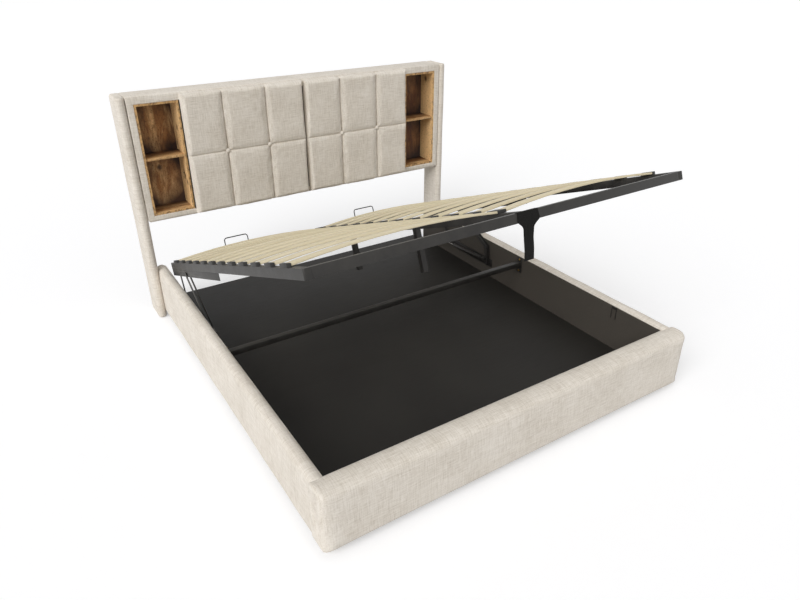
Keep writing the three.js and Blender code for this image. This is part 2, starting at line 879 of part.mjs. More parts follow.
// A U of wire, welded to the top of the head beam
function retainer(x) {
  const half = retainerWidth / 2 - wireRadius;
  const top = retainerHeight - wireRadius;
  const b = retainerBend;
  const at = (across, z) => new THREE.Vector3(across, 0, z);
  const path = new THREE.CurvePath();
  const run = (x0, z0, x1, z1) => path.add(new THREE.LineCurve3(at(x0, z0), at(x1, z1)));
  const bend = (x0, z0, xc, zc, x1, z1) =>
    path.add(new THREE.QuadraticBezierCurve3(at(x0, z0), at(xc, zc), at(x1, z1)));
  run(-half, -weld, -half, top - b);
  bend(-half, top - b, -half, top, -half + b, top);
  run(-half + b, top, half - b, top);
  bend(half - b, top, half, top, half, top - b);
  run(half, top - b, half, -weld);
  const section = new THREE.Shape();
  section.absarc(0, 0, wireRadius, 0, Math.PI * 2);
  return new THREE.ExtrudeGeometry(section, {
    steps: wireSteps,
    extrudePath: path,
    curveSegments: wireSides / 2,
  }).translate(x, platformLength - retainerFromHead, 0);
}

function headBeam() {
  const retainers = [-retainerLeftOffset, retainerRightOffset].map((x) => retainer(x));
  return joined([endBeam(platformLength - beamWidth), ...retainers]);
}

// The strap laps over the foot beam, runs down its front and hangs free, narrowing to a band
function pullStrap() {
  const offset = strapThickness / 2 + fitGap;
  const overTop = onPlatform(strapWrap, offset);
  const frontTop = onPlatform(-offset, offset);
  const frontBottom = onPlatform(-offset, -beamHeight);
  const hanging = (down, sway) => frontBottom.clone().add(sidePoint(-sway, -down));
  const neck = neckDropShares.map((share, i) => ({
    at: hanging(strapNeckDrop * share, 0),
    width: THREE.MathUtils.lerp(strapNeckWidth, strapWideWidth, neckWidthShares[i]),
    lean: 0,
  }));
  const band = bandDropShares.map((share, i) => ({
    at: hanging(strapNeckDrop + strapBandDrop * share, strapSway * bandSwayShares[i]),
    width: strapBandWidth,
    lean: strapLean * bandLeanShares[i],
  }));
  const stations = [
    { at: overTop, width: strapTopWidth, lean: 0 },
    { at: frontTop, width: strapTopWidth, lean: 0 },
    { at: frontBottom, width: strapWideWidth, lean: 0 },
    ...neck,
    ...band,
  ];
  const rings = stations.map(({ at, width, lean }, i) => {
    const before = stations[Math.max(i - 1, 0)].at;
    const after = stations[Math.min(i + 1, stations.length - 1)].at;
    const into = at.clone().sub(before).normalize();
    const out = after.clone().sub(at).normalize();
    const along = into.add(out).normalize();
    const normal = sidePoint(-along.y, along.x).multiplyScalar(strapThickness / 2);
    const edge = (x, p) => new THREE.Vector3(strapOffset + lean + x, p.x, p.y);
    const above = at.clone().add(normal);
    const below = at.clone().sub(normal);
    return [
      edge(-width / 2, below),
      edge(width / 2, below),
      edge(width / 2, above),
      edge(-width / 2, above),
    ];
  });
  return loft(rings);
}

// Pieces of the lift mechanism, on the right; the left ones are their mirror images

// One plate of the arm: a bent strip from the pivot over the bend to the platform's bracket
function armPlateSolid(x0, x1) {
  const half = armStripWidth / 2;
  return joined([
    sidePlate(stripOutline(armPivot, armBend, half), x0, x1),
    sidePlate(stripOutline(armBend, armHead, half), x0, x1),
  ]);
}

function liftArm() {
  const inner = armPlateSolid(armInnerX, armInnerX + armPlate);
  const outer = armPlateSolid(armOuterX - armPlate, armOuterX);
  const lower = armBend.clone().sub(armPivot);
  const side = sidePoint(-lower.y, lower.x).normalize();
  const front = armStripWidth / 2 - armPlate / 2;
  const webStart = armPivot.clone().addScaledVector(lower, armEyeRadius / lower.length());
  const webEnd = armPivot.clone().addScaledVector(lower, armWebShare);
  const web = sidePlate(
    stripOutline(
      webStart.addScaledVector(side, front),
      webEnd.addScaledVector(side, front),
      armPlate / 2,
    ),
    armInnerX + armPlate - weld,
    armOuterX - armPlate + weld,
  );
  const headPin = pin(armInnerX + weld, armOuterX - weld, armHead, pivotPinRadius);
  const gasPin = pin(
    gasX - gasEyeThickness,
    armInnerX + armPlate - weld,
    gasHead,
    gasPinRadius,
    smallRoundSides,
  );
  const pivotHole = pin(
    armInnerX - cutOverrun,
    armOuterX + cutOverrun,
    armPivot,
    pivotPinRadius + pinSlack,
  );
  return cut(joined([inner, outer, web, headPin, gasPin]), [pivotHole]);
}

function lowerBracket() {
  const bottom = armPivot.y - lowerPlateDrop;
  const plate = box(
    railInnerX - lowerPlateThickness,
    railInnerX,
    armPivot.x - lowerPlateMargin,
    gasEnd.x + lowerPlateMargin,
    bottom,
    bottom + lowerPlateHeight,
  );
  const root = railInnerX - lowerPlateThickness + weld;
  return joined([
    plate,
    pin(armInnerX - fitGap, root, armPivot, pivotPinRadius),
    pin(linkOuterX - linkThickness - fitGap, root, linkPivot, linkPinRadius),
    pin(gasX - gasEyeThickness, root, gasEnd, gasEndPinRadius),
  ]);
}

function rearLink() {
  const x0 = linkOuterX - linkThickness;
  const strip = sidePlate(stripOutline(linkPivot, linkHead, linkStripWidth / 2), x0, linkOuterX);
  const eye = pin(x0, linkOuterX, linkHead, linkEyeRadius);
  return cut(joined([strip, eye]), [
    pin(x0 - cutOverrun, linkOuterX + cutOverrun, linkPivot, linkPinRadius + pinSlack),
    pin(x0 - cutOverrun, linkOuterX + cutOverrun, linkHead, linkPinRadius + linkHeadSlack),
  ]);
}

// A round bar along the gas spring, between two distances from its rear end
function gasRound(from, to, radius, sides) {
  const along = gasHead.clone().sub(gasEnd).normalize();
  const middle = gasEnd.clone().addScaledVector(along, (from + to) / 2);
  const geometry = new THREE.CylinderGeometry(radius, radius, to - from, sides);
  return geometry.rotateX(along.angle()).translate(gasX, middle.x, middle.y);
}

// A flat eye at one end of the gas spring, with the neck that carries it
function gasEye(at, pinRadius, from, to) {
  const half = gasEyeThickness / 2;
  const eye = pin(gasX - half, gasX + half, at, gasEyeRadius, roundSides);
  const neck = gasRound(from, to, gasEyeThickness / 2, smallRoundSides);
  const boreHalf = half + cutOverrun;
  const bore = pin(gasX - boreHalf, gasX + boreHalf, at, pinRadius, smallRoundSides);
  return { eye, neck, bore };
}

function gasCylinder() {
  const length = gasHead.distanceTo(gasEnd);
  const tubeEnd = length - gasEyeReach;
  const { eye, neck, bore } = gasEye(
    gasHead,
    gasPinRadius + gasHeadSlack,
    tubeEnd - weld,
    length - gasEyeRadius / 2,
  );
  const tube = gasRound(tubeEnd - gasTubeLength, tubeEnd, gasRadius, roundSides);
  const hollow = gasRound(
    tubeEnd - gasTubeLength - cutOverrun,
    tubeEnd - gasRadius,
    gasRodRadius + gasRodSlack,
    smallRoundSides,
  );
  return cut(joined([tube, neck, eye]), [bore, hollow]);
}

function gasRod() {
  const length = gasHead.distanceTo(gasEnd);
  const inside = length - gasEyeReach - gasTubeLength / 2;
  const { eye, neck, bore } = gasEye(gasEnd, gasEndPinRadius + pinSlack, gasEyeRadius / 2, gasEyeReach);
  const rod = gasRound(gasEyeReach - weld, inside, gasRodRadius, smallRoundSides);
  return cut(joined([eye, neck, rod]), [bore]);
}

// The bed

placePair("side_rail", sideRail(), linen);
place("footboard", footboard(), linen);
place("foot_plinth", plinth(), darkBoard);
place("storage_floor", storageFloor(), darkBoard);
place("cross_bar", crossBar(), blackSteel);
place("rail_clip", railClip(), blackSteel);

placePair("headboard_wing", wing(), linen);
place("headboard_surround", surround(), linen);
place("headboard_face_board", faceBoard(), darkBoard);
place("headboard_back_panel", backPanel(), darkBoard);
place("niche_box_right", niche(false), rusticWood);
place("niche_box_left", niche(true), rusticWood).scale.x = -1;
placePair("niche_shelf", shelf(), rusticWood);
placePair("padded_panel", paddedPanel(), linen);

placePair("platform_side_beam", sideBeam(), blackSteel, platform);
place("platform_foot_beam", endBeam(0), blackSteel, platform);
place("platform_head_beam", headBeam(), blackSteel, platform);
place("platform_centre_beam", centreBeam(), blackSteel, platform);
slatPlaces().forEach((y, i) => {
  const number = String(i + 1).padStart(2, "0");
  place("slat_right_" + number, slat(), beech, platform).position.y = y;
  const left = place("slat_left_" + number, slat(), beech, platform);
  left.position.y = y;
  left.scale.x = -1;
});
place("pull_strap", pullStrap(), webbing);

placePair("upper_bracket", upperBracket(), blackSteel, platform);
placePair("lower_bracket", lowerBracket(), blackSteel);
placePair("lift_arm", liftArm(), blackSteel);
placePair("rear_link", rearLink(), blackSteel);
placePair("gas_cylinder", gasCylinder(), blackSteel);
placePair("gas_rod", gasRod(), springSteel);

export default bed;
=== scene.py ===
import math
import random

import bmesh
import bpy
import numpy as np
from mathutils import Matrix, Vector


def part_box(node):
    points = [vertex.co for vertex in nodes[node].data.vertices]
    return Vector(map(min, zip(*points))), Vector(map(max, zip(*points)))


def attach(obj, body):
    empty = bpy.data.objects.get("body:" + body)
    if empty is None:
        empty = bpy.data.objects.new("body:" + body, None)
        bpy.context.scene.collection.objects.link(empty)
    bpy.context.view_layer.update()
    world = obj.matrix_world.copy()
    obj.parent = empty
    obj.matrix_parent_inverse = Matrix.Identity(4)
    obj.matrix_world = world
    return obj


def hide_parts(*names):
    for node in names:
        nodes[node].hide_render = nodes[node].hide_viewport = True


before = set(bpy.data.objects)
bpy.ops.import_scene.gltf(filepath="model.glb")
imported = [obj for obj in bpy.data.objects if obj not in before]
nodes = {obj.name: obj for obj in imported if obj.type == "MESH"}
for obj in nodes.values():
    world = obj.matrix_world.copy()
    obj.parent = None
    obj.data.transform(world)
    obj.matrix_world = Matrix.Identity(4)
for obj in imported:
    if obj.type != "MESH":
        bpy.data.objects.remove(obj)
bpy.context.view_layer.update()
scene = bpy.context.scene

# Sizes in metres. The camera stands where the photograph was taken from.
CAMERA_PLACE = (-1.7039, -2.7629, 2.0597)
CAMERA_TURN_DEGREES = (61.48, 0.05, -32.60)
CAMERA_LENS_MM = 29.22
CAMERA_SHIFT = (-0.00065, -0.0025)

# Light, as shares of a plain white level: from the sky, from its brighter side on the left and in front,
# and from the lamp on the left, front and top
SKY_LEVEL = 0.49
SKY_GLOW = 0.19
SKY_GLOW_FROM = (-0.62, -0.76, 0.20)
LAMP_FROM = Vector((-0.43, -0.20, 0.35))
LAMP_SOFTNESS_DEGREES = 38
FLOOR_ALBEDO = 0.75
FLOOR_COLOUR = (FLOOR_ALBEDO, FLOOR_ALBEDO, FLOOR_ALBEDO * 1.01, 1)
FLOOR_DROP = 0.0005
FLOOR_LIFT = 0.335
FLOOR_REACH = 60.0

# The platform as it stands raised
PLATFORM_TILT = math.radians(21.28)
BEAM_HEIGHT = 0.040
SLAT_COUNT = 12

# Softened edges: how sharp an edge has to be, the widths, and what counts as one point or one flat
EDGE_ANGLE_DEGREES = 35
TUBE_EDGE = 0.0007
BAR_EDGE = 0.0012
BRACKET_EDGE = 0.0008
LINK_EDGE = 0.0006
ROD_EDGE = 0.0004
SLAT_EDGE = 0.002
WOOD_EDGE = 0.0014
SURROUND_EDGE = 0.005
MERGE_DISTANCE = 1e-5
FLAT_ANGLE_DEGREES = 0.3
HOLDER_FROM_HEIGHT = 0.0002

# Cross bar: bolt heads stand inside the plates, above and below the tube
BOLT_FROM_X = 0.9655
BOLT_BAND = (0.244, 0.284)

# Niches: the middle of a box, its wall, its shelf, how far a cell's middle is from the shelf, the part
# of each cell's back that stays clear of the painted corner shade, and where the side walls begin, from
# the middle
NICHE_CENTRE_X = 0.873
NICHE_WALL = 0.0135
NICHE_SHELF_Z = 0.992
NICHE_CELL_RISE = 0.154
NICHE_CLEAR_X = 0.105
NICHE_CLEAR_Z = 0.145
NICHE_WALL_FROM = 0.1060
NICHE_WALL_TO = 0.1075

# Finishes. Patterns are counted a metre along X, Y and Z, or along and across the threads or the grain.
# A range is what a pattern or a place is stretched over, and a relief has its depth and its strength.
NOISE_RANGE = (0.3, 0.7)
FINE_RELIEF = (0.0003, 0.3)
LINEN_SLUBS = (17, 270)
LINEN_YARNS = (110, 900)
LINEN_MOTTLE = (7, 7, 7)
LINEN_STREAK_SHARE = 0.36
LINEN_WEAVE_SHARE = 0.12
LINEN_MOTTLE_SHARE = 0.16
LINEN_STREAK_RISE = 1.4
LINEN_RELIEF = (0.0009, 0.45)
LINEN_TONES = (
    (0.40, (193, 183, 168)),
    (0.50, (213, 204, 191)),
    (0.56, (222, 214, 202)),
    (0.66, (235, 228, 218)),
)
RUSTIC_GRAIN = (8, 36)
RUSTIC_PATCHES = (2.2, 11)
RUSTIC_KNOTS = (9, 9, 7)
RUSTIC_SPECKS = (150, 150, 110)
RUSTIC_WEAR = (70, 70, 38)
RUSTIC_RELIEF = (0.0012, 0.6)
RUSTIC_TONES = (
    (0.30, (130, 94, 56)),
    (0.44, (184, 144, 96)),
    (0.58, (214, 176, 126)),
    (0.74, (238, 206, 160)),
)
STAIN_RANGE = (0.56, 0.40)
STAIN_COLOUR = (184, 158, 132)
# Painted shade in the back corners of each niche cell: its raggedness, its spread, the depth it covers
# and its colour
CORNER_SHADE_RAGGEDNESS = (16, 16, 16)
CORNER_SHADE_RAGGEDNESS_SHARE = 1.3
CORNER_SHADE_SPREAD = (0.75, 2.0)
CORNER_SHADE_DEPTH_Y = (1.05, 1.16)
PAINTED_CORNER_SHADE_TONE = (78, 56, 40)
# Painted shade on the right niche's back: the depth it covers, the side it is on and its colour
NICHE_BACK_Y = (1.13, 1.16)
RIGHT_SIDE_X = (0.0, 0.1)
PAINTED_RIGHT_BACK_SHADE_TONE = (158, 136, 120)
# Painted light on the niches' side walls: how far they are mixed towards it, and its colour
PAINTED_WALL_LIGHT_SHARE = 0.6
PAINTED_WALL_LIGHT_TONE = (244, 204, 148)
KNOT_RANGE = (0.17, 0.07)
KNOT_SHARE = 0.85
KNOT_SINK = 0.5
KNOT_COLOUR = (48, 29, 15)
SPECK_RANGE = (0.58, 0.68)
SPECK_SHARE = 0.75
SPECK_COLOUR = (44, 27, 15)
WORN_Y = (1.0300, 1.0268)
WORN_SHARE = 0.8
WEAR_RANGE = (0.36, 0.54)
RIM_DARK_COLOUR = (74, 46, 28)
RIM_PALE_COLOUR = (206, 164, 108)
BOARD_GRAIN = (9, 90, 90)
BOARD_CLOUD = (1.6, 1.6, 1.6)
BOARD_GRAIN_SHARE = 0.25
BOARD_CLOUD_SHARE = 0.75
BOARD_STOPS = (0.35, 0.65)
COAT_PEBBLES = (850, 850, 850)
COAT_RUBBED = (14, 14, 14)
COAT_TONES = ((0.35, (34, 32, 30)), (0.70, (47, 45, 42)))
COAT_RELIEF = (0.0003, 0.35)
HOLDER_GRAIN = (420, 420, 420)
HOLDER_TONES = ((0.3, (30, 29, 28)), (0.7, (42, 40, 38)))
BEECH_GRAIN = (3.5, 150, 150)
BEECH_FLECKS = (60, 420, 420)
BEECH_BOARDS = (0.7, 6.5, 6.5)
BEECH_GRAIN_SHARE = 0.55
BEECH_BOARD_SHARE = 0.45
BEECH_TONES = ((0.32, (212, 198, 165)), (0.50, (220, 207, 175)), (0.68, (227, 215, 186)))
FLECK_RANGE = (0.60, 0.70)
FLECK_SHARE = 0.12
FLECK_COLOUR = (176, 154, 116)
WEBBING_RIBS = (320, 320, 320)
WEBBING_FIBRES = (900, 900, 260)
WEBBING_RIB_SHARE = 0.5
WEBBING_FIBRE_SHARE = 0.5
WEBBING_TONES = ((0.25, (13, 13, 12)), (0.75, (29, 28, 27)))
WEBBING_RELIEF = (0.0006, 0.6)
METAL_MARKS = (40, 700, 700)
METAL_RELIEF = (0.0002, 0.2)

# Upholstery. Dents have a seed, a height and a size, and a cap is how far cloth may move.
RAIL_EDGE_Z = 0.307
FIXED_MARGIN = 0.004
LINER_MARGIN = 0.003
LINER_FACING = 0.8
END_MARGIN = 0.001
CORNER_MARGIN = 0.0005
COVER_SMOOTH_DEGREES = 60
RAIL_CAP = 0.0035
RAIL_DENTS = (3, 0.0008, 0.33)
FOOTBOARD_CAP = 0.004
FOOTBOARD_DENTS = (5, 0.0009, 0.36)
WING_CAP = 0.002
WING_DENTS = (8, 0.0006, 0.25)
WING_MARGIN = 0.003
WING_FREE_FRONT = 0.03
DENT_WAVES = 9
DENT_LEAST_DIRECTION = 0.2
DENT_PHASES = 6.28
COVER_PRESSURE = 4.0
COVER_FRAMES = 20
FINE_VOXEL = 0.006
BROAD_VOXEL = 0.009
RAIL_TUCK = 0.020
SURROUND_CORNER = 0.020
SURROUND_SMOOTH_DEGREES = 50
PANEL_CAP = 0.004
PANEL_GROWTH = 0.006
PANEL_DENTS = (11, 0.0009, 0.21)
PANEL_SMOOTH_DEGREES = 70
PANEL_SIDE_STEP = 0.003
PANEL_LEAST_PULL = 0.25
PANEL_SEWN_DEPTH = 0.012
PANEL_CELL = 0.006
SEAM_HELD_REACH = PANEL_CELL * 0.4
PANEL_EDGE_RADIUS = 0.017
PANEL_FULL_DEPTH = 0.034
SEAM_SHARES = (0.333, 0.685)
CROSS_SEAM_SHARE = 0.5
SEAM_DRAW = 0.0065
SEAM_SHOULDER = 0.020
COLUMN_SWELL = 0.0045
COLUMN_REACH = 0.115
CROSS_SEAM_DRAW = 0.0025
CROSS_SEAM_HALF_WIDTH = 0.007
CROSS_SWELL_DRAW = 0.0025
CROSS_SWELL_REACH = 0.05
TUFT_DRAW = 0.0055
TUFT_REACH = 0.024
SCALLOP = 0.005
SCALLOP_REACH = 0.024
SCALLOP_POWER = 14
GATHER_SEED = 17
GATHER_HEIGHT = 0.0012
GATHER_SIZE = 0.05
GATHER_REACH = 0.026
PUCKER_HEIGHT = 0.0012
PUCKER_FOLDS = 7
PUCKER_RADIUS = 0.027
PUCKER_REACH = 0.014
PUCKER_SHIFT = 9
GROOVE_HALF_WIDTH = 0.0030
GROOVE_DEPTH = 0.0085
CROSS_GROOVE_DEPTH = GROOVE_DEPTH * 0.6
BUTTON_RADIUS = 0.0140
BUTTON_HEIGHT = 0.008
BUTTON_SEAT = BUTTON_HEIGHT * 0.9
BUTTON_SMOOTH_DEGREES = 80
BUTTON_RIM_RADIUS = BUTTON_RADIUS * 0.82
BUTTON_RIM_WIDTH = 0.0016
BUTTON_RIM_DRAW = 0.0008

# Pull strap: where it lies, its widths and its fall below the foot beam, and its folds
STRAP_MIDDLE_X = 0.005
STRAP_CLEAR = 0.0015
STRAP_THICKNESS = 0.0016
STRAP_LAP = 0.018
STRAP_TOP_WIDTH = 0.106
STRAP_WIDEST = 0.116
STRAP_SHOULDER_WIDTH = 0.0777
STRAP_NECK_WIDTH = 0.057
STRAP_BAND_WIDTH = 0.052
STRAP_SHOULDER_DROP_SHARE = 0.45
STRAP_NECK_DROP = 0.026
STRAP_BAND_DROP = 0.150
STRAP_SWAY = 0.005
STRAP_LEAN = 0.022
STRAP_COLUMNS = 36
STRAP_ROWS = 96
STRAP_FOLDS = 4
STRAP_FOLD_HEIGHT = 0.0022
STRAP_SMOOTH_DEGREES = 50
STRAP_SHARP_DEGREES = 60
STRAP_SMOOTHING = 6
# How far it is gathered at the beam's upper edge, its lower edge, the shoulder and the neck, and then
# the band: its share of the drop, of the sway and of the lean, and how far it is gathered
STRAP_GATHERED = (0.05, 0.30, 0.85, 1.0)
STRAP_BAND = ((0.3, 0.6, 0.15, 0.35), (0.65, 1, 0.55, 0.12), (1, 0, 1, 0.06))

SIDES = ("right", "left")

for spare in ("Cube", "Light", "Camera"):
    if spare in bpy.data.objects:
        bpy.data.objects.remove(bpy.data.objects[spare])


# Selecting, and applying what was set


def pick(obj):
    """Leaves only this object selected, and active."""
    if bpy.context.object and bpy.context.object.mode != "OBJECT":
        bpy.ops.object.mode_set(mode="OBJECT")
    bpy.ops.object.select_all(action="DESELECT")
    obj.select_set(True)
    bpy.context.view_layer.objects.active = obj


def settle(obj):
    """Moves the object's place, turn and size into its mesh."""
    pick(obj)
    bpy.ops.object.transform_apply(location=True, rotation=True, scale=True)


def shape_with(obj, kind, **values):
    """Adds a modifier with these values and applies it."""
    modifier = obj.modifiers.new(kind.title(), kind)
    for key, value in values.items():
        setattr(modifier, key, value)
    pick(obj)
    bpy.ops.object.modifier_apply(modifier=modifier.name)


def soften_edges(obj, width, segments=2, angle_degrees=EDGE_ANGLE_DEGREES):
    shape_with(
        obj,
        "BEVEL",
        width=width,
        segments=segments,
        limit_method="ANGLE",
        angle_limit=math.radians(angle_degrees),
    )


def smooth(obj, angle_degrees=EDGE_ANGLE_DEGREES):
    pick(obj)
    bpy.ops.object.shade_smooth_by_angle(angle=math.radians(angle_degrees))


def place_copy(node, name):
    """A new object with a merged copy of a CAD node's mesh."""
    obj = bpy.data.objects.new(name, nodes[node].data.copy())
    scene.collection.objects.link(obj)
    obj.data.materials.clear()
    pick(obj)
    bpy.ops.object.mode_set(mode="EDIT")
    bpy.ops.mesh.select_all(action="SELECT")
    bpy.ops.mesh.remove_doubles(threshold=MERGE_DISTANCE)
    bpy.ops.mesh.dissolve_limited(angle_limit=math.radians(FLAT_ANGLE_DEGREES))
    bpy.ops.object.mode_set(mode="OBJECT")
    return obj


def points_of(obj):
    flat = np.zeros(len(obj.data.vertices) * 3)
    obj.data.vertices.foreach_get("co", flat)
    return flat.reshape(-1, 3)


def set_points(obj, points):
    obj.data.vertices.foreach_set("co", points.astype(np.float32).ravel())
    obj.data.update()


def mirrored(obj, name):
    """The same piece on the other side of the bed."""
    other = bpy.data.objects.new(name, obj.data.copy())
    scene.collection.objects.link(other)
    other.data.transform(Matrix.Scale(-1, 4, (1, 0, 0)))
    other.data.flip_normals()
    return other


def platform_place(u, v):
    """(y, z) of a point of the raised platform: u from its foot end, v square to it."""
    low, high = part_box("platform_foot_beam")
    y0 = low.y + BEAM_HEIGHT * math.sin(PLATFORM_TILT)
    c, s = math.cos(PLATFORM_TILT), math.sin(PLATFORM_TILT)
    return y0 + u * c + v * s, high.z - u * s + v * c


def platform_points(points):
    """World points in the platform's own frame."""
    y0, z0 = platform_place(0, 0)
    c, s = math.cos(PLATFORM_TILT), math.sin(PLATFORM_TILT)
    y, z = points[:, 1] - y0, points[:, 2] - z0
    return np.stack([points[:, 0], y * c - z * s, y * s + z * c], axis=1)


# Finishes


def rgb(red, green, blue):
    """A colour as a screen shows it, 0 to 255, as linear light."""

    def linear(value):
        share = value / 255
        return share / 12.92 if share <= 0.04045 else ((share + 0.055) / 1.055) ** 2.4

    return (linear(red), linear(green), linear(blue), 1.0)


def add_node(tree, kind, **settings):
    made = tree.nodes.new("ShaderNode" + kind)
    for key, value in settings.items():
        setattr(made, key, value)
    return made


class Finish:
    """A material that is put together node by node."""

    def __init__(self, name):
        self.material = bpy.data.materials.new(name)
        self.material.use_nodes = True
        self.tree = self.material.node_tree
        self.tree.nodes.clear()
        self.shader = self.node("BsdfPrincipled")
        output = self.node("OutputMaterial")
        self.tree.links.new(self.shader.outputs[0], output.inputs["Surface"])
        self.place = self.node("TexCoord").outputs["Object"]

    def node(self, kind, **settings):
        return add_node(self.tree, kind, **settings)

    def feed(self, socket, value):
        if isinstance(value, bpy.types.NodeSocket):
            self.tree.links.new(value, socket)
        else:
            socket.default_value = value

    def set(self, **values):
        for key, value in values.items():
            self.feed(self.shader.inputs[key.replace("_", " ")], value)

    def math(self, operation, first, second=0.0):
        made = self.node("Math", operation=operation)
        self.feed(made.inputs[0], first)
        self.feed(made.inputs[1], second)
        return made.outputs[0]

    def weighted(self, *parts):
        """The sum of these values, each times its weight."""
        products = [self.math("MULTIPLY", value, weight) for value, weight in parts]
        total = products[0]
        for product in products[1:]:
            total = self.math("ADD", total, product)
        return total

    def spread(self, value, low, high, to_low=0.0, to_high=1.0):
        made = self.node("MapRange")
        for socket, given in zip(made.inputs, (value, low, high, to_low, to_high)):
            self.feed(socket, given)
        return made.outputs[0]

    def mapped(self, per_metre):
        made = self.node("Mapping")
        self.feed(made.inputs["Vector"], self.place)
        made.inputs["Scale"].default_value = per_metre
        return made.outputs[0]

    def noise(self, per_metre, detail=2.0, roughness=0.5, distortion=0.0):
        """Noise with this many spots a metre along X, Y and Z."""
        made = self.node("TexNoise")
        self.feed(made.inputs["Vector"], self.mapped(per_metre))
        made.inputs["Scale"].default_value = 1.0
        made.inputs["Detail"].default_value = detail
        made.inputs["Roughness"].default_value = roughness
        made.inputs["Distortion"].default_value = distortion
        return made.outputs["Fac"]

    def cells(self, per_metre):
        made = self.node("TexVoronoi")
        self.feed(made.inputs["Vector"], self.mapped(per_metre))
        made.inputs["Scale"].default_value = 1.0
        return made.outputs["Distance"]

    def ramp(self, factor, tones):
        """Colours from dark to light, each with the place of its stop."""
        made = self.node("ValToRGB")
        elements = made.color_ramp.elements
        while len(elements) < len(tones):
            elements.new(0.5)
        for element, (position, colour) in zip(elements, tones):
            element.position = position
            element.color = rgb(*colour)
        self.feed(made.inputs[0], factor)
        return made.outputs[0]

    def mix(self, factor, first, second, blend="MIX"):
        made = self.node("Mix", data_type="RGBA", blend_type=blend)
        self.feed(made.inputs[0], factor)
        self.feed(made.inputs[6], first)
        self.feed(made.inputs[7], second)
        return made.outputs[2]

    def over(self, colour, paint, where, share=1.0, blend="MIX"):
        """A colour with a paint over it, where a mask says and by a share."""
        return self.mix(self.math("MULTIPLY", where, share), colour, paint, blend)

    def roughness_from(self, pattern, smoothest, roughest):
        return self.spread(pattern, *NOISE_RANGE, smoothest, roughest)

    def bump(self, height, distance, strength):
        made = self.node("Bump")
        made.inputs["Strength"].default_value = strength
        made.inputs["Distance"].default_value = distance
        self.feed(made.inputs["Height"], height)
        self.feed(self.shader.inputs["Normal"], made.outputs[0])

    def part_of(self, axis):
        made = self.node("SeparateXYZ")
        self.feed(made.inputs[0], self.place)
        return made.outputs["XYZ".index(axis)]


def threads(run, along, across):
    """Two thread scales, lengthwise and crosswise, for a piece that runs along an axis of the bed."""
    lengthwise = tuple(along if axis == run else across for axis in "XYZ")
    crosswise = tuple(across if axis == run else along for axis in "XYZ")
    return lengthwise, crosswise


def linen_finish(name, run):
    """Oatmeal linen: thick and thin threads both ways over soft, uneven shading."""
    finish = Finish(name)
    slubs = [finish.noise(scale, detail=3.0, roughness=0.6) for scale in threads(run, *LINEN_SLUBS)]
    yarns = [finish.noise(scale, detail=1.0) for scale in threads(run, *LINEN_YARNS)]
    weave = finish.math("ADD", *yarns)
    streaks = finish.math("ADD", *slubs)
    mottle = finish.noise(LINEN_MOTTLE, detail=3.0)
    tone = finish.weighted(
        (streaks, LINEN_STREAK_SHARE), (weave, LINEN_WEAVE_SHARE), (mottle, LINEN_MOTTLE_SHARE)
    )
    finish.set(Base_Color=finish.ramp(tone, LINEN_TONES), Roughness=0.93)
    finish.set(Specular_IOR_Level=0.2, Sheen_Weight=0.12, Sheen_Roughness=0.6)
    finish.bump(finish.weighted((weave, 1.0), (streaks, LINEN_STREAK_RISE)), *LINEN_RELIEF)
    return finish.material


def rustic_finish(name, run):
    """Rustic brown boards: long grain, dark stained patches, knots and paler worn front edges, with
    painted shade in the niches' back corners and on the right niche's back, and painted light on the
    niches' side walls.
    """
    finish = Finish(name)
    grain_scale, _ = threads(run, *RUSTIC_GRAIN)
    patch_scale, _ = threads(run, *RUSTIC_PATCHES)
    grain = finish.noise(grain_scale, detail=6.0, roughness=0.66, distortion=1.9)
    patches = finish.noise(patch_scale, detail=4.0, roughness=0.6, distortion=0.8)
    colour = finish.ramp(grain, RUSTIC_TONES)
    stain = finish.spread(patches, *STAIN_RANGE)
    colour = finish.over(colour, rgb(*STAIN_COLOUR), stain, blend="MULTIPLY")
    # Painted shade: the back of each niche cell darkened towards its corners
    colour = finish.over(colour, rgb(*PAINTED_CORNER_SHADE_TONE), painted_corner_shade(finish), blend="MULTIPLY")
    # Painted shade: the back of the right niche darkened, where shade from its left wall and the panel
    # falls
    far_back = finish.spread(finish.part_of("Y"), *NICHE_BACK_Y)
    right_back_painted_shade = finish.math("MULTIPLY", finish.spread(finish.part_of("X"), *RIGHT_SIDE_X), far_back)
    colour = finish.over(colour, rgb(*PAINTED_RIGHT_BACK_SHADE_TONE), right_back_painted_shade, blend="MULTIPLY")
    # Painted light: the niches' side walls mixed towards a pale gold, standing in for the light that
    # falls on them
    from_middle = finish.math("SUBTRACT", finish.math("ABSOLUTE", finish.part_of("X")), NICHE_CENTRE_X)
    walls = finish.spread(finish.math("ABSOLUTE", from_middle), NICHE_WALL_FROM, NICHE_WALL_TO)
    colour = finish.over(colour, rgb(*PAINTED_WALL_LIGHT_TONE), walls, PAINTED_WALL_LIGHT_SHARE)
    knots = finish.spread(finish.cells(RUSTIC_KNOTS), *KNOT_RANGE)
    colour = finish.over(colour, rgb(*KNOT_COLOUR), knots, KNOT_SHARE)
    specks = finish.spread(finish.noise(RUSTIC_SPECKS, detail=3.0), *SPECK_RANGE)
    colour = finish.over(colour, rgb(*SPECK_COLOUR), specks, SPECK_SHARE)
    worn = finish.spread(finish.part_of("Y"), *WORN_Y)
    broken = finish.spread(finish.noise(RUSTIC_WEAR, detail=4.0, roughness=0.7), *WEAR_RANGE)
    rim = finish.mix(broken, rgb(*RIM_DARK_COLOUR), rgb(*RIM_PALE_COLOUR))
    colour = finish.over(colour, rim, worn, WORN_SHARE)
    finish.set(Base_Color=colour, Roughness=finish.roughness_from(grain, 0.5, 0.72))
    sunken_knots = finish.math("MULTIPLY", knots, KNOT_SINK)
    finish.bump(finish.math("SUBTRACT", grain, sunken_knots), *RUSTIC_RELIEF)
    return finish.material


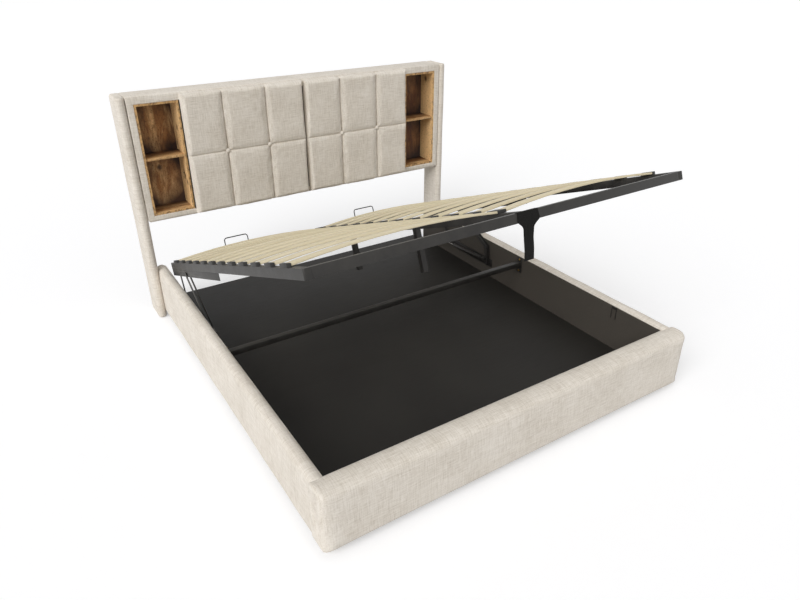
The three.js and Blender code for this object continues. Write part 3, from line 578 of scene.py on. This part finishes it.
def painted_corner_shade(finish):
    """Painted shade on the back of a niche: clear in the middle of each cell, dark towards its corners,
    where shade falls.
    """
    across = finish.math("SUBTRACT", finish.math("ABSOLUTE", finish.part_of("X")), NICHE_CENTRE_X)
    up = finish.math("ABSOLUTE", finish.math("SUBTRACT", finish.part_of("Z"), NICHE_SHELF_Z))
    up = finish.math("SUBTRACT", up, NICHE_CELL_RISE)
    across = finish.math("DIVIDE", across, NICHE_CLEAR_X)
    up = finish.math("DIVIDE", up, NICHE_CLEAR_Z)
    away = finish.math("ADD", finish.math("MULTIPLY", across, across), finish.math("MULTIPLY", up, up))
    ragged = finish.noise(CORNER_SHADE_RAGGEDNESS, detail=4.0)
    corner_shade_mask = finish.spread(finish.weighted((away, 1.0), (ragged, CORNER_SHADE_RAGGEDNESS_SHARE)), *CORNER_SHADE_SPREAD)
    return finish.math("MULTIPLY", corner_shade_mask, finish.spread(finish.part_of("Y"), *CORNER_SHADE_DEPTH_Y))


def dark_board_finish(name, dark, light):
    """Dark board with a faint pressed grain and a dull shine."""
    finish = Finish(name)
    grain = finish.noise(BOARD_GRAIN, detail=4.0, roughness=0.6)
    cloud = finish.noise(BOARD_CLOUD, detail=2.0)
    tone = finish.weighted((grain, BOARD_GRAIN_SHARE), (cloud, BOARD_CLOUD_SHARE))
    finish.set(Base_Color=finish.ramp(tone, zip_tones(BOARD_STOPS, dark, light)))
    finish.set(Roughness=finish.roughness_from(grain, 0.50, 0.6), Specular_IOR_Level=0.2)
    finish.bump(grain, *FINE_RELIEF)
    return finish.material


def zip_tones(stops, *colours):
    return tuple(zip(stops, colours))


def powder_coat_finish():
    """Black powder coat, finely pebbled, a little rubbed."""
    finish = Finish("powder_coat")
    pebbles = finish.noise(COAT_PEBBLES, detail=2.0)
    rubbed = finish.noise(COAT_RUBBED, detail=5.0, roughness=0.65)
    finish.set(Base_Color=finish.ramp(rubbed, COAT_TONES))
    finish.set(Roughness=finish.roughness_from(rubbed, 0.40, 0.52), Specular_IOR_Level=0.42)
    finish.bump(pebbles, *COAT_RELIEF)
    return finish.material


def holder_finish():
    """Moulded black plastic."""
    finish = Finish("holder_plastic")
    grain = finish.noise(HOLDER_GRAIN, detail=3.0)
    finish.set(Base_Color=finish.ramp(grain, HOLDER_TONES))
    finish.set(Roughness=finish.roughness_from(grain, 0.48, 0.6))
    finish.bump(grain, *FINE_RELIEF)
    return finish.material


def beech_finish():
    """Pale beech with fine, long grain and short flecks."""
    finish = Finish("beech")
    grain = finish.noise(BEECH_GRAIN, detail=5.0, roughness=0.6)
    flecks = finish.noise(BEECH_FLECKS, detail=2.0)
    board = finish.noise(BEECH_BOARDS, detail=0.0)
    tone = finish.weighted((grain, BEECH_GRAIN_SHARE), (board, BEECH_BOARD_SHARE))
    colour = finish.ramp(tone, BEECH_TONES)
    fleck = finish.spread(flecks, *FLECK_RANGE)
    colour = finish.over(colour, rgb(*FLECK_COLOUR), fleck, FLECK_SHARE)
    finish.set(Base_Color=colour, Roughness=finish.roughness_from(grain, 0.50, 0.62))
    finish.set(Specular_IOR_Level=0.35)
    finish.bump(grain, *FINE_RELIEF)
    return finish.material


def webbing_finish():
    """Black woven strap."""
    finish = Finish("webbing")
    ribs = finish.node("TexWave", bands_direction="DIAGONAL", wave_type="BANDS")
    finish.feed(ribs.inputs["Vector"], finish.mapped(WEBBING_RIBS))
    ribs.inputs["Scale"].default_value = 1.0
    fibres = finish.noise(WEBBING_FIBRES, detail=2.0)
    tone = finish.weighted((ribs.outputs["Fac"], WEBBING_RIB_SHARE), (fibres, WEBBING_FIBRE_SHARE))
    finish.set(Base_Color=finish.ramp(tone, WEBBING_TONES), Roughness=0.88)
    finish.set(Specular_IOR_Level=0.2)
    finish.bump(tone, *WEBBING_RELIEF)
    return finish.material


def metal_finish(name, dark, light, smoothest, roughest):
    """Bare or plated metal with fine turning marks."""
    finish = Finish(name)
    marks = finish.noise(METAL_MARKS, detail=3.0)
    finish.set(Base_Color=finish.ramp(marks, zip_tones(NOISE_RANGE, dark, light)))
    finish.set(Metallic=1.0, Roughness=finish.roughness_from(marks, smoothest, roughest))
    finish.bump(marks, *METAL_RELIEF)
    return finish.material


LINEN_RUN = {axis: linen_finish("linen_along_" + axis.lower(), axis) for axis in "XYZ"}
RUSTIC_UPRIGHT = rustic_finish("rustic_upright", "Z")
RUSTIC_LEVEL = rustic_finish("rustic_level", "X")
DARK_BOARD = dark_board_finish("dark_board", (33, 31, 29), (42, 40, 37))
DARK_LINER = dark_board_finish("dark_liner", (68, 64, 59), (80, 75, 69))
POWDER_COAT = powder_coat_finish()
HOLDER = holder_finish()
BEECH = beech_finish()
WEBBING = webbing_finish()
PISTON = metal_finish("piston_rod", (150, 150, 150), (196, 196, 194), 0.18, 0.30)
YELLOW_BOLT = metal_finish("yellow_bolt", (150, 118, 58), (196, 162, 92), 0.28, 0.42)


def give(obj, *materials):
    obj.data.materials.clear()
    for material in materials:
        obj.data.materials.append(material)


def finish_faces(obj, chooses, material_index):
    """Gives the faces that the test picks, by centre and normal, another of the object's materials."""
    for face in obj.data.polygons:
        if chooses(face.center, face.normal):
            face.material_index = material_index


def mount(obj, body, slot, *stood_for):
    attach(obj, body)
    if stood_for:
        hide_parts(*stood_for)
    return obj


def dressed(node, body, slot, material, edge):
    """A CAD piece again, with its sharp edges softened."""
    obj = place_copy(node, node + "_finished")
    soften_edges(obj, edge)
    smooth(obj)
    give(obj, material)
    return mount(obj, body, slot, node)


# Upholstery


def cover_with_cloth(obj, held, cap, growth=0.0):
    """Lets a cover swell like cloth over padding, each point within the cap of where it was."""
    before = points_of(obj)
    group = obj.vertex_groups.new(name="held")
    group.add([int(i) for i in np.nonzero(held(before))[0]], 1.0, "REPLACE")
    cloth = obj.modifiers.new("Cover", "CLOTH")
    settings = cloth.settings
    settings.quality = 5
    settings.mass = 0.3
    settings.tension_stiffness = 15
    settings.compression_stiffness = 15
    settings.shear_stiffness = 5
    settings.bending_stiffness = 0.5
    settings.use_pressure = True
    settings.uniform_pressure_force = COVER_PRESSURE
    settings.vertex_group_mass = "held"
    settings.shrink_min = -growth
    settings.effector_weights.gravity = 0
    cloth.point_cache.frame_start = 1
    cloth.point_cache.frame_end = COVER_FRAMES
    for frame_number in range(1, COVER_FRAMES + 1):
        scene.frame_set(frame_number)
    pick(obj)
    bpy.ops.object.modifier_apply(modifier=cloth.name)
    scene.frame_set(1)
    after = points_of(obj)
    moves = after - before
    lengths = np.linalg.norm(moves, axis=1, keepdims=True)
    set_points(obj, before + moves * np.minimum(1, cap / np.maximum(lengths, 1e-9)))
    obj.vertex_groups.clear()


def remeshed(node, name, voxel, tuck=0.0):
    """A fine, even skin over a CAD solid. Its foot end may first be tucked towards the foot."""
    obj = place_copy(node, name)
    if tuck:
        points = points_of(obj)
        points[points[:, 1] < points[:, 1].min() + END_MARGIN, 1] -= tuck
        set_points(obj, points)
    size = voxel
    shape_with(obj, "REMESH", mode="VOXEL", voxel_size=size, use_smooth_shade=True)
    shape_with(obj, "SMOOTH", factor=0.5, iterations=2)
    return obj


def unevenness(points, seed, height, size):
    """Small dents and swells of hand upholstery: a few broad waves in random directions."""
    draw = random.Random(seed)
    total = np.zeros(len(points))
    for _ in range(DENT_WAVES):
        direction = np.array([draw.uniform(-1, 1) for _ in range(3)])
        direction *= 2 * math.pi / size / max(np.linalg.norm(direction), DENT_LEAST_DIRECTION)
        total += np.sin(points @ direction + draw.uniform(0, DENT_PHASES))
    return total * height / math.sqrt(DENT_WAVES)


def ruffle(obj, seed, height, size, fixed):
    """Moves a cover's points a little along their normals, but not where it is fixed to its board."""
    points = points_of(obj)
    flat = np.zeros(len(points) * 3)
    obj.data.vertices.foreach_get("normal", flat)
    free = (~fixed(points)).astype(float)[:, None]
    moves = flat.reshape(-1, 3) * unevenness(points, seed, height, size)[:, None] * free
    set_points(obj, points + moves)


def side_rails():
    low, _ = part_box("side_rail_right")
    inner = low.x

    def fixed(points):
        return (points[:, 0] < inner + FIXED_MARGIN) | (points[:, 2] < low.z + FIXED_MARGIN)

    rail = remeshed("side_rail_right", "side_rail_right_cover", BROAD_VOXEL, RAIL_TUCK)
    cover_with_cloth(rail, fixed, RAIL_CAP)
    ruffle(rail, *RAIL_DENTS, fixed)
    give(rail, LINEN_RUN["Y"], DARK_LINER)

    def lined(centre, normal):
        on_wall = normal.x < -LINER_FACING and centre.x < inner + LINER_MARGIN
        return on_wall and centre.z < RAIL_EDGE_Z

    finish_faces(rail, lined, 1)
    smooth(rail, COVER_SMOOTH_DEGREES)
    other = mirrored(rail, "side_rail_left_cover")
    for side, piece in zip(SIDES, (rail, other)):
        mount(piece, "bed_frame", "linen", "side_rail_" + side)


def footboard():
    low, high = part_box("footboard")
    back = high.y

    def fixed(points):
        return (points[:, 1] > back - FIXED_MARGIN) | (points[:, 2] < low.z + FIXED_MARGIN)

    board = remeshed("footboard", "footboard_cover", BROAD_VOXEL)
    cover_with_cloth(board, fixed, FOOTBOARD_CAP)
    ruffle(board, *FOOTBOARD_DENTS, fixed)
    give(board, LINEN_RUN["X"], DARK_LINER)

    def lined(centre, normal):
        on_wall = normal.y > LINER_FACING and centre.y > back - LINER_MARGIN
        return on_wall and centre.z < RAIL_EDGE_Z

    finish_faces(board, lined, 1)
    smooth(board, COVER_SMOOTH_DEGREES)
    mount(board, "bed_frame", "linen", "footboard")


def headboard_wings():
    low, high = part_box("headboard_wing_right")

    def fixed(points):
        at_back = points[:, 1] > high.y - WING_MARGIN
        at_foot = points[:, 2] < WING_MARGIN
        inside = (points[:, 0] < low.x + WING_MARGIN) & (points[:, 1] > low.y + WING_FREE_FRONT)
        return at_back | at_foot | inside

    wing = remeshed("headboard_wing_right", "headboard_wing_right_cover", FINE_VOXEL)
    cover_with_cloth(wing, fixed, WING_CAP)
    ruffle(wing, *WING_DENTS, fixed)
    give(wing, LINEN_RUN["Z"])
    smooth(wing, COVER_SMOOTH_DEGREES)
    other = mirrored(wing, "headboard_wing_left_cover")
    for side, piece in zip(SIDES, (wing, other)):
        mount(piece, "bed_frame", "linen", "headboard_wing_" + side)


def headboard_surround():
    surround = place_copy("headboard_surround", "headboard_surround_cover")
    low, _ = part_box("headboard_surround")

    def lower_edge(start, end):
        return at_lower_corner(start, low) and at_lower_corner(end, low)

    round_edges(surround, lower_edge, SURROUND_CORNER, segments=6)
    soften_edges(surround, SURROUND_EDGE, segments=4)
    give(surround, LINEN_RUN["X"])
    smooth(surround, SURROUND_SMOOTH_DEGREES)
    mount(surround, "bed_frame", "linen", "headboard_surround")


def at_lower_corner(point, low):
    at_side = abs(abs(point.x) - abs(low.x)) < CORNER_MARGIN
    return at_side and abs(point.z - low.z) < CORNER_MARGIN


def round_edges(obj, chooses, radius, segments):
    """Rounds the edges that the test picks by their two end points."""
    pick(obj)
    bpy.ops.object.mode_set(mode="EDIT")
    bpy.ops.mesh.select_mode(type="EDGE")
    bpy.ops.mesh.select_all(action="DESELECT")
    mesh = bmesh.from_edit_mesh(obj.data)
    for edge in mesh.edges:
        edge.select = chooses(edge.verts[0].co, edge.verts[1].co)
    mesh.select_flush_mode()
    bmesh.update_edit_mesh(obj.data)
    bpy.ops.mesh.bevel(offset=radius, segments=segments)
    bpy.ops.object.mode_set(mode="OBJECT")


def seam_dip(distance, half_width, depth):
    return depth * np.exp(-((distance / half_width) ** 2))


def edge_inset(distance, radius):
    back = np.clip(radius - distance, 0, radius)
    return radius - np.sqrt(radius * radius - back * back)


def shoulder(distance, reach):
    """0 at a seam, rising like a quarter circle to 1 where the padding is full."""
    back = np.clip(1 - distance / reach, 0, 1)
    return np.sqrt(1 - back * back)


def panel_pull(x, z, seams, cross):
    """How far the seams and buttons draw a panel's cover in."""
    to_seam = np.min([abs(x - seam) for seam in seams], axis=0)
    to_cross = abs(z - cross)
    along_seam = SEAM_DRAW * (1 - shoulder(to_seam, SEAM_SHOULDER))
    along_seam = along_seam + COLUMN_SWELL * (1 - shoulder(to_seam, COLUMN_REACH))
    along_cross = seam_dip(to_cross, CROSS_SEAM_HALF_WIDTH, CROSS_SEAM_DRAW)
    along_cross = along_cross + seam_dip(to_cross, CROSS_SWELL_REACH, CROSS_SWELL_DRAW)
    tufts = sum(seam_dip(np.hypot(x - seam, to_cross), TUFT_REACH, TUFT_DRAW) for seam in seams)
    return np.maximum(along_seam, along_cross) + tufts


def panel_skin(low, high, seams, cross, xs, zs):
    """The front skin of the right panel and its side walls, open at the back."""
    width, height = high.x - low.x, high.z - low.z
    bpy.ops.mesh.primitive_grid_add(x_subdivisions=len(xs) - 1, y_subdivisions=len(zs) - 1, size=1)
    panel = bpy.context.object
    panel.name = "padded_panel_right_cover"
    flat = points_of(panel)
    x = (flat[:, 0] + 0.5) * width
    z = (flat[:, 1] + 0.5) * height
    edge = np.min([x, width - x, z, height - z], axis=0)
    fade = np.clip(edge / PANEL_EDGE_RADIUS, PANEL_LEAST_PULL, 1)
    depth = PANEL_FULL_DEPTH - edge_inset(edge, PANEL_EDGE_RADIUS)
    depth = depth - fade * panel_pull(x, z, seams, cross)
    to_seam = np.min([abs(x - seam) for seam in seams], axis=0)
    towards_top = (z / height) ** SCALLOP_POWER - (1 - z / height) ** SCALLOP_POWER
    z = z - seam_dip(to_seam, SCALLOP_REACH, SCALLOP) * towards_top
    set_points(panel, np.stack([low.x + x, high.y - depth, low.z + z], axis=1))
    pick(panel)
    bpy.ops.object.mode_set(mode="EDIT")
    bpy.ops.mesh.select_all(action="DESELECT")
    bpy.ops.mesh.select_mode(type="EDGE")
    bpy.ops.mesh.select_non_manifold()
    for _ in range(2):
        bpy.ops.mesh.extrude_edges_move(TRANSFORM_OT_translate={"value": (0, PANEL_SIDE_STEP, 0)})
    mesh = bmesh.from_edit_mesh(panel.data)
    for edge in mesh.edges:
        if edge.is_boundary:
            for corner in edge.verts:
                corner.co.y = high.y
    bmesh.update_edit_mesh(panel.data)
    bpy.ops.object.mode_set(mode="OBJECT")
    return panel


def sew_panel(panel, low, high, seams, cross):
    """Sews in the seams' narrow grooves, with gathers along them and puckers round the buttons."""
    points = points_of(panel)
    px, pz = points[:, 0] - low.x, points[:, 2] - low.z
    to_seam = np.min([abs(px - seam) for seam in seams], axis=0)
    groove = seam_dip(to_seam, GROOVE_HALF_WIDTH, GROOVE_DEPTH)
    groove = np.maximum(groove, seam_dip(pz - cross, GROOVE_HALF_WIDTH, CROSS_GROOVE_DEPTH))
    gathers = unevenness(points, GATHER_SEED, GATHER_HEIGHT, GATHER_SIZE)
    gathers = gathers * np.exp(-((to_seam / GATHER_REACH) ** 2))
    folds = np.zeros(len(points))
    for seam in seams:
        away = np.hypot(px - seam, pz - cross)
        turn = np.arctan2(pz - cross, px - seam)
        ring = np.exp(-(((away - PUCKER_RADIUS) / PUCKER_REACH) ** 2))
        folds += PUCKER_HEIGHT * np.cos(PUCKER_FOLDS * turn + seam * PUCKER_SHIFT) * ring
    front = np.clip((high.y - points[:, 1]) / PANEL_SEWN_DEPTH, 0, 1)
    points[:, 1] += (groove + gathers + folds) * front
    set_points(panel, points)


def padded_panels():
    """The tufted panels: a skin over padding, drawn in along its seams and at its buttons."""
    low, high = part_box("padded_panel_right")
    width, height = high.x - low.x, high.z - low.z
    xs = np.linspace(0, width, round(width / PANEL_CELL) + 1)
    zs = np.linspace(0, height, round(height / PANEL_CELL) + 1)
    seams = [xs[np.argmin(abs(xs - share * width))] for share in SEAM_SHARES]
    cross = zs[np.argmin(abs(zs - CROSS_SEAM_SHARE * height))]
    panel = panel_skin(low, high, seams, cross, xs, zs)

    def held(points):
        px, pz = points[:, 0] - low.x, points[:, 2] - low.z
        on_seam = np.min([abs(px - seam) for seam in seams], axis=0) < SEAM_HELD_REACH
        on_cross = abs(pz - cross) < SEAM_HELD_REACH
        return on_seam | on_cross | (points[:, 1] > high.y - END_MARGIN)

    cover_with_cloth(panel, held, PANEL_CAP, growth=PANEL_GROWTH)
    shape_with(panel, "SUBSURF", levels=1, render_levels=1)
    sew_panel(panel, low, high, seams, cross)
    close_back(panel)
    ruffle(panel, *PANEL_DENTS, lambda points: points[:, 1] > high.y - FIXED_MARGIN)
    give(panel, LINEN_RUN["X"])
    smooth(panel, PANEL_SMOOTH_DEGREES)
    pull_at_button = float(panel_pull(np.array(seams[0]), np.array(cross), seams, cross))
    seat_depth = PANEL_FULL_DEPTH - pull_at_button
    for side, piece in zip(SIDES, (panel, mirrored(panel, "padded_panel_left_cover"))):
        mount(piece, "bed_frame", "linen", "padded_panel_" + side)
        sign = 1 if side == "right" else -1
        for number, seam in enumerate(seams, 1):
            place = (sign * (seam + low.x), high.y - seat_depth - BUTTON_SEAT, cross + low.z)
            button = covered_button(f"panel_button_{side}_{number}", *place)
            mount(button, "bed_frame", "linen")


def close_back(obj):
    """Closes a skin's open border with one flat face."""
    pick(obj)
    bpy.ops.object.mode_set(mode="EDIT")
    bpy.ops.mesh.select_mode(type="EDGE")
    bpy.ops.mesh.select_all(action="DESELECT")
    bpy.ops.mesh.select_non_manifold()
    bpy.ops.mesh.edge_face_add()
    bpy.ops.mesh.select_all(action="SELECT")
    bpy.ops.mesh.normals_make_consistent(inside=False)
    bpy.ops.object.mode_set(mode="OBJECT")


def covered_button(name, x, y, z):
    """A domed button under linen, with a tight rim."""
    bpy.ops.mesh.primitive_uv_sphere_add(
        segments=24, ring_count=14, radius=BUTTON_RADIUS, location=(x, y, z)
    )
    button = bpy.context.object
    button.name = name
    button.scale = (1, BUTTON_HEIGHT / BUTTON_RADIUS, 1)
    settle(button)
    points = points_of(button)
    radius = np.hypot(points[:, 0] - x, points[:, 2] - z)
    rim = np.exp(-(((radius - BUTTON_RIM_RADIUS) / BUTTON_RIM_WIDTH) ** 2))
    points[:, 1] += np.where(points[:, 1] < y, rim * BUTTON_RIM_DRAW, 0)
    set_points(button, points)
    give(button, LINEN_RUN["X"])
    smooth(button, BUTTON_SMOOTH_DEGREES)
    return button


# Woodwork


def niches():
    for side in SIDES:
        carcass = place_copy("niche_box_" + side, f"niche_box_{side}_boards")
        soften_edges(carcass, WOOD_EDGE)
        smooth(carcass)
        give(carcass, RUSTIC_UPRIGHT, RUSTIC_LEVEL)
        low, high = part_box("niche_box_" + side)
        finish_faces(carcass, lambda c, n: not low.z + NICHE_WALL < c.z < high.z - NICHE_WALL, 1)
        mount(carcass, "bed_frame", "rustic_wood", "niche_box_" + side)
        shelf = dressed("niche_shelf_" + side, "bed_frame", "rustic_wood", RUSTIC_LEVEL, WOOD_EDGE)
        shelf.name = f"niche_shelf_{side}_board"


# Platform


def beam_with_holders(node):
    """A steel tube with the moulded slat holders that stand on it."""
    beam = place_copy(node, node + "_finished")
    soften_edges(beam, TUBE_EDGE)
    smooth(beam)
    give(beam, POWDER_COAT, HOLDER)
    centres = np.array([face.center for face in beam.data.polygons])
    heights = platform_points(centres)[:, 2]
    for face, height in zip(beam.data.polygons, heights):
        face.material_index = 1 if height > HOLDER_FROM_HEIGHT else 0
    mount(beam, "platform", "black_steel", node)


def platform_steel():
    for node in ("platform_side_beam_right", "platform_side_beam_left", "platform_centre_beam"):
        beam_with_holders(node)
    for node in ("platform_foot_beam", "platform_head_beam"):
        dressed(node, "platform", "black_steel", POWDER_COAT, TUBE_EDGE)
    for side in SIDES:
        dressed("upper_bracket_" + side, "platform", "black_steel", POWDER_COAT, BRACKET_EDGE)


def slats():
    for side in SIDES:
        for number in range(1, SLAT_COUNT + 1):
            dressed(f"slat_{side}_{number:02d}", "platform", "beech", BEECH, SLAT_EDGE)


def strap_route():
    """Rows of the strap down to its free end: place in side view, width, lean and gathering."""
    beam_foot = platform_place(-STRAP_CLEAR, -BEAM_HEIGHT)

    def below(drop, sway):
        return beam_foot[0] - sway, beam_foot[1] - drop

    at_edge, at_foot, at_shoulder, at_neck = STRAP_GATHERED
    shoulder_place = below(STRAP_NECK_DROP * STRAP_SHOULDER_DROP_SHARE, 0)
    stations = [
        (*platform_place(STRAP_LAP, STRAP_CLEAR), STRAP_TOP_WIDTH, 0, 0),
        (*platform_place(-STRAP_CLEAR, STRAP_CLEAR), STRAP_TOP_WIDTH, 0, at_edge),
        (*beam_foot, STRAP_WIDEST, 0, at_foot),
        (*shoulder_place, STRAP_SHOULDER_WIDTH, 0, at_shoulder),
        (*below(STRAP_NECK_DROP, 0), STRAP_NECK_WIDTH, 0, at_neck),
    ]
    for drop, sway, lean, gathered in STRAP_BAND:
        place = below(STRAP_NECK_DROP + STRAP_BAND_DROP * drop, STRAP_SWAY * sway)
        stations.append((*place, STRAP_BAND_WIDTH, STRAP_LEAN * lean, gathered))
    stations = np.array(stations)
    steps = np.hypot(np.diff(stations[:, 0]), np.diff(stations[:, 1]))
    run = np.concatenate([[0], np.cumsum(steps)])
    rows = np.linspace(0, run[-1], STRAP_ROWS + 1)
    route = np.stack([np.interp(rows, run, column) for column in stations.T], axis=1)
    for _ in range(STRAP_SMOOTHING):
        route[1:-1, 2:] = (route[:-2, 2:] + 2 * route[1:-1, 2:] + route[2:, 2:]) / 4
    return route, float(run[-1])


def pull_strap():
    """Woven strap, lapped over the foot beam and gathered at its neck into a hanging band."""
    route, length = strap_route()
    bpy.ops.mesh.primitive_grid_add(x_subdivisions=STRAP_COLUMNS, y_subdivisions=STRAP_ROWS, size=1)
    strap = bpy.context.object
    strap.name = "pull_strap_webbing"
    flat = points_of(strap)
    across = flat[:, 0]
    row = np.clip(np.rint((flat[:, 1] + 0.5) * STRAP_ROWS).astype(int), 0, STRAP_ROWS)
    y, z, width, lean, gathered = route[row].T
    ahead = np.gradient(route[:, :2], axis=0)
    ahead /= np.linalg.norm(ahead, axis=1, keepdims=True)
    outward = np.stack([ahead[:, 1], -ahead[:, 0]], axis=1)[row]
    fold = STRAP_FOLD_HEIGHT * gathered * (1 + np.cos(2 * math.pi * STRAP_FOLDS * across)) / 2
    x = STRAP_MIDDLE_X + lean + across * width
    set_points(strap, np.stack([x, y + outward[:, 0] * fold, z + outward[:, 1] * fold], axis=1))
    shape_with(strap, "SOLIDIFY", thickness=STRAP_THICKNESS, offset=0)
    soften_edges(strap, STRAP_THICKNESS / 4, segments=1, angle_degrees=STRAP_SHARP_DEGREES)
    smooth(strap, STRAP_SMOOTH_DEGREES)
    give(strap, WEBBING)
    mount(strap, "platform", "webbing", "pull_strap")


# Lift mechanism and fittings


def mechanism():
    for side in SIDES:
        dressed("lower_bracket_" + side, "bed_frame", "black_steel", POWDER_COAT, BRACKET_EDGE)
        dressed("lift_arm_" + side, "lift_arms", "black_steel", POWDER_COAT, LINK_EDGE)
        dressed("rear_link_" + side, "rear_links", "black_steel", POWDER_COAT, LINK_EDGE)
        dressed("gas_cylinder_" + side, "gas_cylinders", "black_steel", POWDER_COAT, LINK_EDGE)
        dressed("gas_rod_" + side, "gas_rods", "bright_rod", PISTON, ROD_EDGE)


def cross_bar():
    bar = place_copy("cross_bar", "cross_bar_finished")
    soften_edges(bar, BAR_EDGE)
    smooth(bar)
    give(bar, POWDER_COAT, YELLOW_BOLT)
    above_tube, below_tube = max(BOLT_BAND), min(BOLT_BAND)

    def bolt_head(centre, normal):
        return abs(centre.x) < BOLT_FROM_X and not below_tube < centre.z < above_tube

    finish_faces(bar, bolt_head, 1)
    mount(bar, "bed_frame", "black_steel", "cross_bar")


def fittings():
    cross_bar()
    dressed("rail_clip", "bed_frame", "black_steel", POWDER_COAT, ROD_EDGE)
    for node in ("storage_floor", "foot_plinth", "headboard_face_board", "headboard_back_panel"):
        give(nodes[node], DARK_BOARD)


# The studio


def seen_directly(tree):
    """1 for what the camera sees, also in a mirror or through glass, and 0 for other rays."""
    rays = add_node(tree, "LightPath")
    seen = rays.outputs["Is Camera Ray"]
    for kind in ("Is Glossy Ray", "Is Transmission Ray"):
        either = add_node(tree, "Math", operation="MAXIMUM")
        tree.links.new(seen, either.inputs[0])
        tree.links.new(rays.outputs[kind], either.inputs[1])
        seen = either.outputs[0]
    return seen


def studio_floor():
    """A pale floor that takes shadows and that the camera sees a little brighter."""
    bpy.ops.mesh.primitive_plane_add(size=FLOOR_REACH, location=(0, 0, -FLOOR_DROP))
    floor = bpy.context.object
    floor.name = "studio_floor"
    material = bpy.data.materials.new("studio_floor")
    material.use_nodes = True
    tree = material.node_tree
    tree.nodes.clear()
    output = add_node(tree, "OutputMaterial")
    diffuse = add_node(tree, "BsdfDiffuse")
    diffuse.inputs["Color"].default_value = FLOOR_COLOUR
    lift = add_node(tree, "Emission")
    level = add_node(tree, "Math", operation="MULTIPLY")
    level.inputs[1].default_value = FLOOR_LIFT
    both = add_node(tree, "AddShader")
    tree.links.new(seen_directly(tree), level.inputs[0])
    tree.links.new(level.outputs[0], lift.inputs["Strength"])
    tree.links.new(diffuse.outputs[0], both.inputs[0])
    tree.links.new(lift.outputs[0], both.inputs[1])
    tree.links.new(both.outputs[0], output.inputs["Surface"])
    floor.data.materials.append(material)


def studio_light():
    """A sky that is white to the camera and dimmer as light, and one soft lamp."""
    world = bpy.data.worlds.new("studio_sky")
    scene.world = world
    world.use_nodes = True
    tree = world.node_tree
    tree.nodes.clear()
    output = add_node(tree, "OutputWorld")
    sky = add_node(tree, "Background")
    sky.inputs["Color"].default_value = (1, 1, 1, 1)
    direction = add_node(tree, "TexCoord")
    towards = add_node(tree, "VectorMath", operation="DOT_PRODUCT")
    towards.inputs[1].default_value = SKY_GLOW_FROM
    glow = add_node(tree, "MapRange")
    glow.inputs["To Min"].default_value = SKY_LEVEL
    glow.inputs["To Max"].default_value = SKY_LEVEL + SKY_GLOW
    level = add_node(tree, "MapRange")
    level.inputs["To Max"].default_value = 1.0
    tree.links.new(direction.outputs["Generated"], towards.inputs[0])
    tree.links.new(towards.outputs["Value"], glow.inputs["Value"])
    tree.links.new(glow.outputs[0], level.inputs["To Min"])
    tree.links.new(seen_directly(tree), level.inputs["Value"])
    tree.links.new(level.outputs[0], sky.inputs["Strength"])
    tree.links.new(sky.outputs[0], output.inputs["Surface"])

    lamp = bpy.data.lights.new("studio_lamp", "SUN")
    lamp.energy = LAMP_FROM.length * math.pi
    lamp.angle = math.radians(LAMP_SOFTNESS_DEGREES)
    holder = bpy.data.objects.new("studio_lamp", lamp)
    scene.collection.objects.link(holder)
    holder.rotation_euler = LAMP_FROM.to_track_quat("Z", "Y").to_euler()


def photograph_camera():
    data = bpy.data.cameras.new("photograph")
    data.sensor_width = 36
    data.lens = CAMERA_LENS_MM
    data.shift_x, data.shift_y = CAMERA_SHIFT
    data.clip_end = 200
    camera = bpy.data.objects.new("photograph", data)
    scene.collection.objects.link(camera)
    camera.location = CAMERA_PLACE
    camera.rotation_euler = [math.radians(angle) for angle in CAMERA_TURN_DEGREES]
    scene.camera = camera


photograph_camera()
padded_panels()
side_rails()
footboard()
headboard_wings()
headboard_surround()
niches()
platform_steel()
slats()
pull_strap()
mechanism()
fittings()
studio_floor()
studio_light()
scene.view_settings.view_transform = "Standard"
